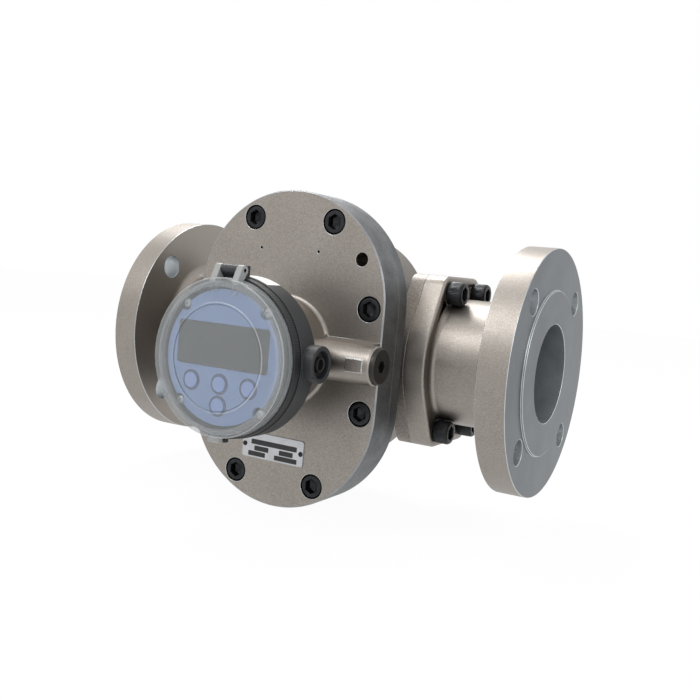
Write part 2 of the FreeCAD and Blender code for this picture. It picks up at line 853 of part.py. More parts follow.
def front_screws(label, places, seat, head, shank, socket=None, drop=0.0):
    """Screws put in from the front. Head and shank are (radius, length), socket (flats, depth)."""
    body = new_body(label, loose=True)
    page = sketch(body, "XZ", seat)
    for across, up in places:
        circle(page, across, up, head[0])
    pad(body, page, head[1])
    top = edges_where(body, lambda edge: flat_at(edge, 1, -(as_size(seat) + head[1])))
    dress(body, "Chamfer", top, as_size(head[1]) * HEAD_EDGE_SHARE)
    page = sketch(body, "XZ", as_size(seat) - shank[1])
    for across, up in places:
        circle(page, across, up, shank[0])
    pad(body, page, shank[1])
    if socket:
        page = sketch(body, "XZ", as_size(seat) + head[1])
        for across, up in places:
            hexagon(page, across, up, socket[0])
        pocket(body, page, socket[1])
    return finish_piece(body, label, drop)


# Rings, pins and other turned stock

def rod(label, axis, start, length, radius, places, drop=0.0):
    """Plain round stock along X or Y, one or more pieces in one group."""
    body = new_body(label, loose=True)
    page = sketch(body, "YZ" if axis == "X" else "XZ", start)
    for across, up in places:
        circle(page, across, up, radius)
    pad(body, page, length)
    return finish_piece(body, label, drop)


def ring(label, axis, starts, thickness, inner, outer, up=0.0):
    """Flat ring along X or Y, at one or more places along that axis."""
    body = new_body(label, loose=True)
    for start in starts:
        page = sketch(body, "YZ" if axis == "X" else "XZ", start)
        circle(page, 0, up, inner)
        circle(page, 0, up, outer)
        pad(body, page, thickness)
    return finish_piece(body, label)


def cover_seal():
    """Cord seal pressed flat in its groove round the chamber."""
    body = new_body("cover_seal")
    page = sketch(body, "XZ", d.seam_front - d.seal_height)
    for half in (-0.5, 0.5):
        obround(page, d.gear_offset, d.cover_seal_radius + d.seal_width * half)
    pad(body, page, d.seal_height)
    return finish_piece(body, "cover_seal")


# Oval gears

def oval_reach(angle, long_radius, short_radius):
    """Polar radius of the oval pitch curve that rolls on its twin at a fixed centre distance."""
    span = long_radius + short_radius
    swing = long_radius - short_radius
    return 2 * long_radius * short_radius / (span - swing * math.cos(2 * angle))


def oval_gear_face():
    """Outline of one gear, long axis along X: teeth spaced evenly by length round the oval."""
    long_radius = number(d.gear_long_radius - d.gear_tip_gap)
    short_radius = number(d.gear_offset * 2 - d.gear_long_radius - d.gear_tip_gap)
    steps = 3600
    angles = [2 * math.pi * i / steps for i in range(steps + 1)]
    curve = [
        Vector(math.cos(a), math.sin(a), 0) * oval_reach(a, long_radius, short_radius) for a in angles
    ]
    travelled = [0.0]
    for before, after in zip(curve, curve[1:]):
        travelled.append(travelled[-1] + before.distanceToPoint(after))
    pitch = travelled[-1] / GEAR_TEETH

    def spot(length, depth):
        """Point at a length along the oval, sunk below it by a depth."""
        length %= travelled[-1]
        index = next(i for i, gone in enumerate(travelled) if gone >= length) or 1
        along = (curve[index] - curve[index - 1]).normalize()
        share = (length - travelled[index - 1]) / (travelled[index] - travelled[index - 1])
        point = curve[index - 1] + (curve[index] - curve[index - 1]) * share
        return point + Vector(-along.y, along.x, 0) * depth

    depth = number(d.tooth_depth)
    outline = []
    for tooth in range(GEAR_TEETH):
        centre = tooth * pitch
        outline.append(spot(centre - pitch * TOOTH_LAND / 2, 0))
        outline.append(spot(centre + pitch * TOOTH_LAND / 2, 0))
        outline.append(spot(centre + pitch * (0.5 - TOOTH_ROOT / 2), depth))
        outline.append(spot(centre + pitch * (0.5 + TOOTH_ROOT / 2), depth))
    outline.append(outline[0])
    return Part.Face(Part.makePolygon(outline))


def oval_gear(label, end, upright):
    """One oval gear with its bush bore and the magnet pockets in its front face."""
    length = number(gear_length)
    solid = oval_gear_face().extrude(Vector(0, 0, length))
    bore = number(d.shaft_radius + d.shaft_running_gap + d.bush_wall)
    solid = solid.cut(Part.makeCylinder(bore, length))
    pocket_radius = number(d.magnet_radius + d.magnet_gap)
    depth = number(d.magnet_length)
    for side in (-1, 1):
        place = Vector(side * number(d.magnet_circle), 0, length - depth)
        solid = solid.cut(Part.makeCylinder(pocket_radius, depth, place))
    gear = doc.addObject("Part::Feature", label)
    gear.Shape = solid
    facing = Rotation(Vector(1, 0, 0), 90)
    gear.Placement = Placement(Vector(0, 0, 0), facing * Rotation(Vector(0, 0, 1), 90 if upright else 0))
    bind(gear, "Placement.Base.y", -gear_back)
    return finish_piece(gear, label, -d.gear_offset * end)


def gear_train(name, end, upright):
    """One gear with the bush, magnets, shaft and thrust washers that go with it."""
    up = d.gear_offset * end
    oval_gear(f"{name}_oval_gear", end, upright)
    bush_bore = d.shaft_radius + d.shaft_running_gap
    ring(f"{name}_gear_bush", "Y", [gear_back], gear_length, bush_bore, bush_bore + d.bush_wall, up)
    spots = [(0, up + d.magnet_circle * i) if upright else (d.magnet_circle * i, up) for i in (-1, 1)]
    magnet_back = gear_back + gear_length - d.magnet_length
    rod(f"{name}_gear_magnets", "Y", magnet_back, d.magnet_length, d.magnet_radius, spots)
    rod(
        f"{name}_gear_shaft", "Y", chamber_floor - d.shaft_bite,
        d.chamber_depth + d.shaft_bite * 2, d.shaft_radius, [(0, up)],
    )
    ring(
        f"{name}_thrust_washers", "Y", [chamber_floor, d.seam_front - d.washer_thickness],
        d.washer_thickness, d.shaft_radius + d.shaft_running_gap, d.washer_radius, up,
    )


# Pick-up board in the boss

pickup_screw_up = d.pickup_half_height - d.small_head_radius - d.pickup_screw_margin


def pickup():
    """Board with two magnetic pick-ups, flat on the pocket floor, and its screws."""
    body = new_body("pickup_board")
    page = sketch(body, "XZ", d.pocket_floor_front)
    rounded_box(page, 0, 0, d.pickup_half_width * 2, d.pickup_half_height * 2, d.pickup_corner)
    for end in (-1, 1):
        circle(page, 0, pickup_screw_up * end, d.pickup_screw_radius + d.screw_gap)
    pad(body, page, d.board_thickness)
    finish_piece(body, "pickup_board")
    board_face = d.pocket_floor_front + d.board_thickness
    can_up = pickup_screw_up - d.small_head_radius - d.pickup_can_radius - d.pickup_can_gap
    rod(
        "pickup_sensors", "Y", board_face, d.pickup_can_height, d.pickup_can_radius,
        [(0, can_up * end) for end in (-1, 1)],
    )
    front_screws(
        "pickup_board_screws", [(0, pickup_screw_up * end) for end in (-1, 1)], board_face,
        (d.small_head_radius, d.small_head_height), (d.pickup_screw_radius, d.pickup_screw_length),
    )


# Conduit plug, nameplate and label

def conduit_plug():
    """Threaded blanking plug with a flat collar and a hexagon socket."""
    body = new_body("conduit_plug")
    collar_face = d.conduit_reach + d.plug_collar_height
    page = sketch(body, "YZ", d.conduit_reach)
    circle(page, -d.conduit_front, -d.conduit_drop, d.plug_collar_radius)
    pad(body, page, d.plug_collar_height)
    rim = edges_where(body, lambda edge: flat_at(edge, 0, collar_face))
    dress(body, "Chamfer", rim, d.plug_edge)
    page = sketch(body, "YZ", d.conduit_reach - d.plug_depth)
    circle(page, -d.conduit_front, -d.conduit_drop, d.plug_radius)
    pad(body, page, d.plug_depth)
    page = sketch(body, "YZ", collar_face)
    hexagon(page, -d.conduit_front, -d.conduit_drop, d.plug_socket_flats)
    pocket(body, page, d.plug_socket_depth)
    return finish_piece(body, "conduit_plug")


def nameplate():
    """Thin plate on the cover with a hole for each drive screw."""
    body = new_body("nameplate")
    page = sketch(body, "XZ", cover_front)
    rounded_box(page, d.plate_centre, -d.plate_offset, d.plate_width, d.plate_height, d.plate_corner)
    for across in plate_pins:
        circle(page, across, -d.plate_offset, d.plate_pin_radius + d.screw_gap)
    pad(body, page, d.plate_thickness)
    return finish_piece(body, "nameplate")


def serial_label():
    """Blank curved label stuck to the housing's round side."""
    solids = []
    for name, extra in (("outer", d.label_glue + d.label_thickness), ("inner", d.label_glue)):
        drum = doc.addObject("Part::Cylinder", f"label_{name}")
        bind(drum, "Radius", d.housing_radius + extra)
        bind(drum, "Height", d.label_width)
        bind(drum, "Angle", d.label_sweep)
        drum.Placement = Placement(Vector(0, 0, 0), Rotation(Vector(1, 0, 0), 90))
        solids.append(drum)
    strip = doc.addObject("Part::Cut", "serial_label")
    strip.Base, strip.Tool = solids
    strip.Placement = Placement(Vector(0, 0, 0), Rotation(Vector(0, -1, 0), number(d.label_start)))
    bind(strip, "Placement.Base.y", -(d.housing_front - d.label_margin - d.label_width))
    return finish_piece(strip, "serial_label", d.display_drop)


# Display housing

def display_housing():
    """Moulded round housing: floor, wall, posts and the cable gland boss on its side."""
    body = new_body("display_housing")
    page = sketch(body, "XY")
    polygon(page, at_front(
        (d.housing_cable_radius, housing_back),
        (d.housing_radius - d.housing_rear_taper, housing_back),
        (d.housing_radius, housing_back + d.housing_rear_taper),
        (d.housing_radius, d.housing_front),
        (housing_bore, d.housing_front),
        (housing_bore, housing_floor_front),
        (d.housing_cable_radius, housing_floor_front),
    ))
    turn(body, page, "V_Axis")
    gland_start = housing_bore - d.gland_inner_boss
    page = sketch(body, "YZ", gland_start)
    circle(page, -d.gland_front, d.gland_rise, d.gland_radius)
    pad(body, page, gland_reach - gland_start)
    tip = edges_where(body, lambda edge: flat_at(edge, 0, gland_reach))
    dress(body, "Fillet", tip, d.cap_edge)
    page = sketch(body, "XZ", housing_floor_front)
    for angle in CORNER_ANGLES:
        circle(page, *spread(fascia_screw_circle, angle), fascia_post_radius)
    pad(body, page, d.housing_front - housing_floor_front)
    page = sketch(body, "XZ", housing_floor_front)
    for angle in BOARD_POST_ANGLES:
        circle(page, *spread(board_post_circle, angle), d.board_post_radius)
    pad(body, page, board_back - housing_floor_front)
    page = sketch(body, "XZ", d.housing_front)
    for angle in CORNER_ANGLES:
        circle(page, *spread(fascia_screw_circle, angle), d.fascia_screw_radius + d.screw_gap)
    pocket(body, page, d.fascia_screw_length - (d.bezel_front - d.housing_front) + d.blind_hole_spare)
    page = sketch(body, "XZ", housing_floor_front)
    for angle in HOUSING_SCREW_ANGLES:
        across, up = spread(d.housing_screw_circle, angle, d.display_drop)
        circle(page, across, up, d.housing_screw_radius + small_hole_gap)
    pocket(body, page, d.housing_floor)
    page = sketch(body, "YZ", gland_reach)
    circle(page, -d.gland_front, d.gland_rise, d.gland_recess_radius)
    pocket(body, page, d.gland_recess_depth)
    page = sketch(body, "YZ", gland_reach)
    circle(page, -d.gland_front, d.gland_rise, d.gland_hole_radius)
    pocket(body, page, gland_reach - gland_start + d.gland_inner_boss)
    return finish_piece(body, "display_housing", d.display_drop)


def housing_gasket():
    """Flat gasket between the boss and the housing, with its screw holes."""
    body = new_body("housing_gasket")
    page = sketch(body, "XZ", d.boss_front)
    circle(page, 0, 0, d.pocket_radius)
    circle(page, 0, 0, d.boss_radius - d.gasket_inset)
    for angle in HOUSING_SCREW_ANGLES:
        across, up = spread(d.housing_screw_circle, angle)
        circle(page, across, up, d.housing_screw_radius + small_hole_gap)
    pad(body, page, d.gasket_thickness)
    return finish_piece(body, "housing_gasket")


def display_bezel():
    """Front ring of the housing, with the hinge knuckle on its plate above and the lid catch below."""
    body = new_body("display_bezel")
    page = sketch(body, "XY")
    polygon(page, at_front(
        (bezel_opening_radius, bezel_back),
        (bezel_radius, bezel_back),
        (bezel_radius, d.bezel_shoulder_front),
        (bezel_step_radius, d.bezel_shoulder_front),
        (bezel_step_radius, d.bezel_front),
        (bezel_opening_radius, d.bezel_front),
    ))
    turn(body, page, "V_Axis")
    web_up = bezel_radius - d.knuckle_web_inset
    page = sketch(body, "YZ", -d.hinge_knuckle_half)
    belt(page, [
        (-d.hinge_front, hinge_rise, d.hinge_knuckle_radius),
        (-(d.bezel_shoulder_front - d.knuckle_web_inset), web_up, d.knuckle_web_radius),
        (-(bezel_back + d.knuckle_web_inset), web_up, d.knuckle_web_radius),
    ])
    pad(body, page, d.hinge_knuckle_half * 2)
    page = sketch(body, "XZ", d.hinge_front + d.hinge_knuckle_radius)
    circle(page, 0, 0, bezel_step_radius)
    circle(page, 0, 0, lid_radius + d.knuckle_lid_gap)
    pocket(body, page, d.hinge_front + d.hinge_knuckle_radius - d.bezel_shoulder_front)
    page = sketch(body, "YZ", -d.hinge_knuckle_half)
    circle(page, -d.hinge_front, hinge_rise, d.hinge_pin_radius)
    pocket(body, page, d.hinge_knuckle_half * 2, forward=True)
    page = sketch(body, "XZ", bezel_back)
    box_outline(
        page, -d.hinge_plate_half, d.hinge_plate_half,
        bezel_radius - d.knuckle_web_inset * 2, hinge_rise + d.hinge_knuckle_radius,
    )
    pad(body, page, d.hinge_plate_front - bezel_back)
    page = sketch(body, "XZ", d.catch_rear)
    box_outline(
        page, -d.catch_half_width, d.catch_half_width,
        -(bezel_radius + d.catch_stand_out), -(bezel_radius - d.catch_bite),
    )
    pad(body, page, d.bezel_shoulder_front - d.catch_rear)
    page = sketch(body, "XZ", d.bezel_front)
    for angle in CORNER_ANGLES:
        circle(page, *spread(fascia_screw_circle, angle), d.fascia_screw_radius + small_hole_gap)
    pocket(body, page, d.bezel_front - bezel_back)
    return finish_piece(body, "display_bezel", d.display_drop)


def key_places():
    """Across and up places of the four keys."""
    row = -key_row_drop
    return {
        "left_key": (-d.key_spacing, row),
        "middle_key": (as_size(0), row),
        "right_key": (d.key_spacing, row),
        "lower_key": (as_size(0), -low_key_drop),
    }


def fascia():
    """Round front panel with the window, the key holes and a notch at each screw."""
    body = new_body("fascia")
    page = sketch(body, "XZ", d.bezel_front)
    circle(page, 0, 0, fascia_radius)
    pad(body, page, d.fascia_thickness)
    page = sketch(body, "XZ", fascia_front)
    rounded_box(page, 0, window_rise, window_width, window_height, d.window_corner)
    for across, up in key_places().values():
        circle(page, across, up, d.key_radius + d.key_gap)
    pocket(body, page, d.fascia_thickness)
    page = sketch(body, "XZ", fascia_front)
    for angle in CORNER_ANGLES:
        circle(page, *spread(fascia_screw_circle, angle), d.fascia_screw_notch)
    pocket(body, page, d.fascia_thickness)
    return finish_piece(body, "fascia", d.display_drop)


def window_and_module():
    """Clear window let into the fascia, and the display module behind it on the board."""
    window_front = fascia_front - d.window_recess
    body = new_body("lcd_window")
    page = sketch(body, "XZ", window_front - d.window_thickness)
    gap = d.window_gap * 2
    corner = d.window_corner - d.window_gap
    rounded_box(page, 0, window_rise, window_width - gap, window_height - gap, corner)
    pad(body, page, d.window_thickness)
    finish_piece(body, "lcd_window", d.display_drop)
    body = new_body("lcd_module")
    page = sketch(body, "XZ", d.board_front)
    margin = d.lcd_margin * 2
    rounded_box(page, 0, window_rise, window_width - margin, window_height - margin, d.lcd_corner)
    pad(body, page, window_front - d.window_thickness - d.board_front)
    finish_piece(body, "lcd_module", d.display_drop)


def key(label, across, up):
    """One push key: a crowned button with a lip that stays behind the fascia."""
    lip_front = d.bezel_front - d.key_rest_gap
    body = new_body(label)
    page = sketch(body, "XZ", lip_front - d.key_lip_thickness)
    circle(page, across, up, key_lip_radius)
    pad(body, page, d.key_lip_thickness)
    page = sketch(body, "XZ", lip_front)
    circle(page, across, up, d.key_radius)
    pad(body, page, fascia_front + d.key_rise - lip_front)
    crown = edges_where(body, lambda edge: flat_at(edge, 1, -(fascia_front + d.key_rise)))
    dress(body, "Fillet", crown, d.key_edge)
    return finish_piece(body, label, d.display_drop)


def display_board():
    """Round circuit board on the housing's posts."""
    body = new_body("display_board")
    page = sketch(body, "XZ", board_back)
    circle(page, 0, 0, board_radius)
    pad(body, page, d.board_thickness)
    return finish_piece(body, "display_board", d.display_drop)


def display_lid():
    """Clear hinged lid: a shallow cap with a raised ring, two hinge ears and a lift tab."""
    body = new_body("display_lid")
    page = sketch(body, "XY")
    ring_inner = d.lid_ring_radius - d.lid_ring_width / 2
    ring_outer = d.lid_ring_radius + d.lid_ring_width / 2
    ring_front = d.lid_front + d.lid_ring_height
    polygon(page, at_front(
        (0, lid_inside),
        (0, d.lid_front),
        (ring_inner, d.lid_front),
        (ring_inner, ring_front),
        (ring_outer, ring_front),
        (ring_outer, d.lid_front),
        (lid_radius, d.lid_front),
        (lid_radius, lid_rear),
        (lid_bore, lid_rear),
        (lid_bore, lid_inside),
    ))
    turn(body, page, "V_Axis")
    rim = edges_where(
        body, lambda edge: flat_at(edge, 1, -d.lid_front) and near(edge.BoundBox.XMax, lid_radius)
    )
    dress(body, "Fillet", rim, d.lid_edge)
    ear_start = d.hinge_knuckle_half + d.hinge_side_gap
    web_up = lid_bore - d.ear_web_bite
    for start in (ear_start, -(ear_start + d.hinge_ear_width)):
        page = sketch(body, "YZ", start)
        belt(page, [
            (-d.hinge_front, hinge_rise, d.hinge_ear_radius),
            (-(d.lid_front - d.ear_web_front_inset), web_up, d.ear_web_radius),
            (-(lid_rear + d.ear_web_rear_inset), web_up, d.ear_web_radius),
        ])
        pad(body, page, d.hinge_ear_width)
    page = sketch(body, "YZ", -(ear_start + d.hinge_ear_width))
    circle(page, -d.hinge_front, hinge_rise, d.hinge_pin_radius + d.hinge_pin_gap)
    pocket(body, page, (ear_start + d.hinge_ear_width) * 2, forward=True)
    page = sketch(body, "XZ", d.tab_rear)
    box_outline(
        page, -d.catch_half_width, d.catch_half_width,
        -(lid_radius + d.tab_stand_out), -(lid_radius - d.lid_wall / 2),
    )
    pad(body, page, d.tab_depth)
    return finish_piece(body, "display_lid", d.display_drop)


# Build every sub-part

meter_body()
front_cover()
for side_name, way in (("inlet", -1), ("outlet", 1)):
    adapter(f"{side_name}_adapter", way)
    adapter_screws(f"{side_name}_adapter_screws", way)
    seal_start = joint_reach - d.seal_height if way > 0 else -joint_reach
    ring(
        f"{side_name}_port_seal", "X", [seal_start], d.seal_height,
        d.port_seal_radius - d.seal_width / 2, d.port_seal_radius + d.seal_width / 2,
    )
front_screws(
    "cover_screws", cover_bolts, cover_front - d.head_recess - d.cap_head_height,
    (d.cap_head_radius, d.cap_head_height), (d.cap_shank_radius, d.cover_screw_length),
    (d.cap_socket_flats, d.cap_socket_depth),
)
rod("cover_dowels", "Y", d.seam_front - d.dowel_bite, d.dowel_bite * 2, d.dowel_radius, dowel_holes)
cover_seal()
gear_train("upper", 1, upright=False)
gear_train("lower", -1, upright=True)
pickup()
conduit_plug()
nameplate()
front_screws(
    "nameplate_screws", [(across, -d.plate_offset) for across in plate_pins],
    cover_front + d.plate_thickness, (d.plate_pin_head_radius, d.plate_pin_head_height),
    (d.plate_pin_radius, d.plate_pin_bite + d.plate_thickness),
)
housing_gasket()
display_housing()
front_screws(
    "housing_screws", [spread(d.housing_screw_circle, angle) for angle in HOUSING_SCREW_ANGLES],
    housing_floor_front, (d.housing_screw_head_radius, d.housing_screw_head_height),
    (d.housing_screw_radius, d.housing_screw_length + d.housing_floor),
)
serial_label()
ring(
    "bezel_seal", "Y", [d.housing_front], d.bezel_seal_thickness,
    housing_bore + d.bezel_seal_inner_gap, d.housing_radius - d.bezel_seal_inset, -d.display_drop,
)
display_bezel()
rod(
    "battery_cells", "X", -(d.battery_length / 2), d.battery_length, d.battery_radius,
    [(-(housing_floor_front + d.battery_radius), battery_offset * end) for end in (-1, 1)],
    d.display_drop,
)
display_board()
window_and_module()
fascia()
for key_name, (key_across, key_up) in key_places().items():
    key(key_name, key_across, key_up)
switch_front = d.bezel_front - d.key_rest_gap - d.key_lip_thickness - d.key_travel - d.switch_margin
rod(
    "key_switches", "Y", d.board_front, switch_front - d.board_front, d.switch_radius,
    list(key_places().values()), d.display_drop,
)
front_screws(
    "fascia_screws", [spread(fascia_screw_circle, angle) for angle in CORNER_ANGLES],
    d.bezel_front, (d.fascia_screw_head_radius, d.fascia_screw_head_height),
    (d.fascia_screw_radius, d.fascia_screw_length), drop=d.display_drop,
)
display_lid()
rod(
    "lid_hinge_pin", "X", -(d.hinge_knuckle_half + d.hinge_side_gap + d.hinge_ear_width),
    (d.hinge_knuckle_half + d.hinge_side_gap + d.hinge_ear_width) * 2, d.hinge_pin_radius,
    [(-d.hinge_front, hinge_rise)], d.display_drop,
)
gland_bottom = gland_reach - d.gland_recess_depth
gland_up = d.gland_rise - d.display_drop
gland_body = new_body("gland_nut")
gland_page = sketch(gland_body, "YZ", gland_bottom)
circle(gland_page, -d.gland_front, gland_up, d.gland_seal_radius)
circle(gland_page, -d.gland_front, gland_up, d.gland_recess_radius - d.gland_gap)
pad(gland_body, gland_page, d.gland_recess_depth - d.cap_edge)
finish_piece(gland_body, "gland_nut")
seal_body = new_body("gland_seal")
seal_page = sketch(seal_body, "YZ", gland_bottom)
circle(seal_page, -d.gland_front, gland_up, d.gland_seal_radius - d.gland_gap)
pad(seal_body, seal_page, d.gland_recess_depth - d.cap_edge * 2)
finish_piece(seal_body, "gland_seal")

doc.recompute()

# Nothing is written unless the whole model is sound

for thing in doc.Objects:
    if "Invalid" in thing.State or "Error" in thing.State:
        raise RuntimeError(f"{thing.Name} ({thing.Label}) did not build: {thing.State}")
for piece in pieces:
    if piece.Shape.isNull() or not piece.Shape.isValid():
        raise RuntimeError(f"{piece.Label} is not a sound solid")

os.makedirs("parts", exist_ok=True)
for piece in pieces:
    piece.Shape.exportStep(f"parts/{piece.Label}.step")
    print(piece.Label, len(piece.Shape.Solids), round(piece.Shape.Volume / 1000, 2), "cm3")
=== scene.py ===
"""Oval gear flow meter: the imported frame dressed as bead-blasted castings, turned flanges and a moulded display."""
import logging
import math
from dataclasses import dataclass, field
from enum import Enum
from typing import Callable, Sequence

import bmesh
import bpy
import numpy as np
from mathutils import Matrix, Vector


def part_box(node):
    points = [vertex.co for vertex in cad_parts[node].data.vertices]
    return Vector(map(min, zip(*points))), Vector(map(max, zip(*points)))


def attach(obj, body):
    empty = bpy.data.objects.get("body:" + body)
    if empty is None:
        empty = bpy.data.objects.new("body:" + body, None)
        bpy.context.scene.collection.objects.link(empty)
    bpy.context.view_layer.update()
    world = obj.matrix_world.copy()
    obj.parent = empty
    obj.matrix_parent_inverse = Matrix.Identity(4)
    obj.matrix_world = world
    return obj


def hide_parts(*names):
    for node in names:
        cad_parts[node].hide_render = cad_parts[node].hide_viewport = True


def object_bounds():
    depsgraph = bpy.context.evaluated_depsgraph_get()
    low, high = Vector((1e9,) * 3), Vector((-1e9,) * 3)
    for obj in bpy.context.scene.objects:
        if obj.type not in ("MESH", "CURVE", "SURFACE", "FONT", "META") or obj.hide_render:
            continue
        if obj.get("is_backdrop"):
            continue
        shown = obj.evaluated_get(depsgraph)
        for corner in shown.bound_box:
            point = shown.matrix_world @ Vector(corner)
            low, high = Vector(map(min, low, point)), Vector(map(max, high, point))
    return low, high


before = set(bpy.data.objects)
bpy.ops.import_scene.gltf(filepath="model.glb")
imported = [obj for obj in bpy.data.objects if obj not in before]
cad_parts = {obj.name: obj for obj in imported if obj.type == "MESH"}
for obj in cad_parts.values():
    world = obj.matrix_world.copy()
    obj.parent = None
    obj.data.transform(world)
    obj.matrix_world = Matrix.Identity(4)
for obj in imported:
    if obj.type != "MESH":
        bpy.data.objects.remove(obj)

LOG = logging.getLogger("flow_meter")
MM = 0.001
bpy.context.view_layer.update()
MERGE = 0.004 * MM
SLIVER = 0.05 * MM
FLAT_ANGLE = math.radians(0.4)
SHARP_ANGLE = math.radians(32)
CAD_SHARP_ANGLE = math.radians(30)
# Shares of a face's normal along an axis: under the first it runs along it, over the last it looks along it.
SHEER, SIDE, FLAT = 0.3, 0.5, 0.95


class Body(str, Enum):
    """The moving groups of the meter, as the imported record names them."""
    METER = "meter"
    UPPER_GEAR = "upper_gear"
    LOWER_GEAR = "lower_gear"
    LID = "lid"
    LEFT_KEY = "left_key_cap"
    MIDDLE_KEY = "middle_key_cap"
    RIGHT_KEY = "right_key_cap"
    LOWER_KEY = "lower_key_cap"


class Facing(Enum):
    """The way that a turned piece points from its seat."""
    FRONT = (0.0, -1.0, 0.0)
    OUTLET = (1.0, 0.0, 0.0)
    INLET = (-1.0, 0.0, 0.0)


# Gives each face a zone number, from the faces' centres and normals.
Zones = Callable[[np.ndarray, np.ndarray], np.ndarray]


# Node helpers

def linear(code: str) -> tuple[float, float, float, float]:
    """Turn an sRGB hex colour to linear light.

    Args:
        code: six hex digits.

    Returns:
        Linear red, green, blue and an alpha of 1.
    """
    parts = [int(code[i:i + 2], 16) / 255 for i in (0, 2, 4)]
    light = [p / 12.92 if p <= 0.04045 else ((p + 0.055) / 1.055) ** 2.4 for p in parts]
    return light[0], light[1], light[2], 1.0


def add(tree: bpy.types.NodeTree, kind: str, inputs: dict | None = None, **settings) -> bpy.types.Node:
    """Add a shader node with its settings and its inputs.

    Args:
        tree: the material's or world's node tree.
        kind: the node's type name.
        inputs: socket name or number to a value, or to the output socket that feeds it.
        settings: attributes of the node.

    Returns:
        The new node.
    """
    made = tree.nodes.new(kind)
    for name, value in settings.items():
        setattr(made, name, value)
    for name, value in (inputs or {}).items():
        if isinstance(value, bpy.types.NodeSocket):
            tree.links.new(value, made.inputs[name])
        else:
            made.inputs[name].default_value = value
    return made


# Finishes

@dataclass(frozen=True)
class Finish:
    """A plain finish: colour with slow cloudy variation, roughness with a fine variation, and a fine bump."""
    name: str
    light: str
    dark: str
    metallic: float = 0.0
    roughness: tuple[float, float] = (0.4, 0.5)
    grain: float = 0.6 * MM
    patch: float = 18.0 * MM
    bump: float = 0.1
    depth: float = 0.02 * MM
    coat: float = 0.0
    speckle: float = 0.2
    ior: float = 1.5

    def height(self, tree: bpy.types.NodeTree, place: bpy.types.NodeSocket) -> bpy.types.NodeSocket:
        """Make the grain: noise whose wavelength is the grain's size.

        Args:
            tree: the material's node tree.
            place: object coordinates.

        Returns:
            The grain's height, 0 to 1.
        """
        fine = add(tree, "ShaderNodeTexNoise", {"Vector": place, "Scale": 1 / self.grain, "Detail": 3.0})
        return fine.outputs["Fac"]

    def material(self) -> bpy.types.Material:
        """Build the material, once.

        Returns:
            The material.
        """
        label = f"{self.name}_finish"
        found = bpy.data.materials.get(label)
        if found:
            return found
        made = bpy.data.materials.new(label)
        made.use_nodes = True
        made.node_tree.nodes.clear()
        self.fill(made.node_tree)
        return made

    def fill(self, tree: bpy.types.NodeTree) -> None:
        """Mix the two colours by slow patches and the grain, and let the grain drive roughness and bump.

        Args:
            tree: the material's empty node tree.
        """
        place = add(tree, "ShaderNodeTexCoord").outputs["Object"]
        height = self.height(tree, place)
        slow = add(tree, "ShaderNodeTexNoise", {"Vector": place, "Scale": 1 / self.patch, "Detail": 5.0})
        drift = add(tree, "ShaderNodeMix", {0: self.speckle, 2: slow.outputs["Fac"], 3: height})
        spread = add(tree, "ShaderNodeMapRange", {"Value": drift.outputs[0], "From Min": 0.3, "From Max": 0.7})
        colour = add(tree, "ShaderNodeMix", {"Factor": spread.outputs[0]}, data_type="RGBA")
        colour.inputs[6].default_value = linear(self.light)
        colour.inputs[7].default_value = linear(self.dark)
        rough = add(tree, "ShaderNodeMapRange", {
            "Value": height, "To Min": self.roughness[0], "To Max": self.roughness[1]})
        bump = add(tree, "ShaderNodeBump", {"Height": height, "Strength": self.bump, "Distance": self.depth})
        shader = add(tree, "ShaderNodeBsdfPrincipled", {
            "Base Color": colour.outputs[2], "Roughness": rough.outputs["Result"],
            "Normal": bump.outputs["Normal"]})
        shader.inputs["Metallic"].default_value = self.metallic
        shader.inputs["Coat Weight"].default_value = self.coat
        if not self.metallic:
            shader.inputs["IOR"].default_value = self.ior
        add(tree, "ShaderNodeOutputMaterial", {"Surface": shader.outputs["BSDF"]})


@dataclass(frozen=True)
class Turned(Finish):
    """Metal faced on a lathe: fine rings about an axis, with a slow drift in brightness."""
    axis: tuple[float, float, float] = (1.0, 0.0, 0.0)
    centre: tuple[float, float, float] = (0.0, 0.0, 0.0)
    pitch: float = 0.5 * MM

    def height(self, tree: bpy.types.NodeTree, place: bpy.types.NodeSocket) -> bpy.types.NodeSocket:
        """Make one-dimensional noise of the distance from the axis plus the place along it.

        Args:
            tree: the material's node tree.
            place: object coordinates.

        Returns:
            The rings' height, 0 to 1.
        """
        flat = tuple(1.0 - abs(part) for part in self.axis)
        offset = add(tree, "ShaderNodeVectorMath", {0: place, 1: self.centre}, operation="SUBTRACT")
        across = add(tree, "ShaderNodeVectorMath", {0: offset.outputs[0], 1: flat}, operation="MULTIPLY")
        reach = add(tree, "ShaderNodeVectorMath", {0: across.outputs[0]}, operation="LENGTH")
        along = add(tree, "ShaderNodeVectorMath", {0: place, 1: self.axis}, operation="DOT_PRODUCT")
        total = add(tree, "ShaderNodeMath", {0: reach.outputs["Value"], 1: along.outputs["Value"]}, operation="ADD")
        rings = add(tree, "ShaderNodeTexNoise", {
            "W": total.outputs[0], "Scale": 1 / self.pitch, "Detail": 2.0}, noise_dimensions="1D")
        return rings.outputs["Fac"]


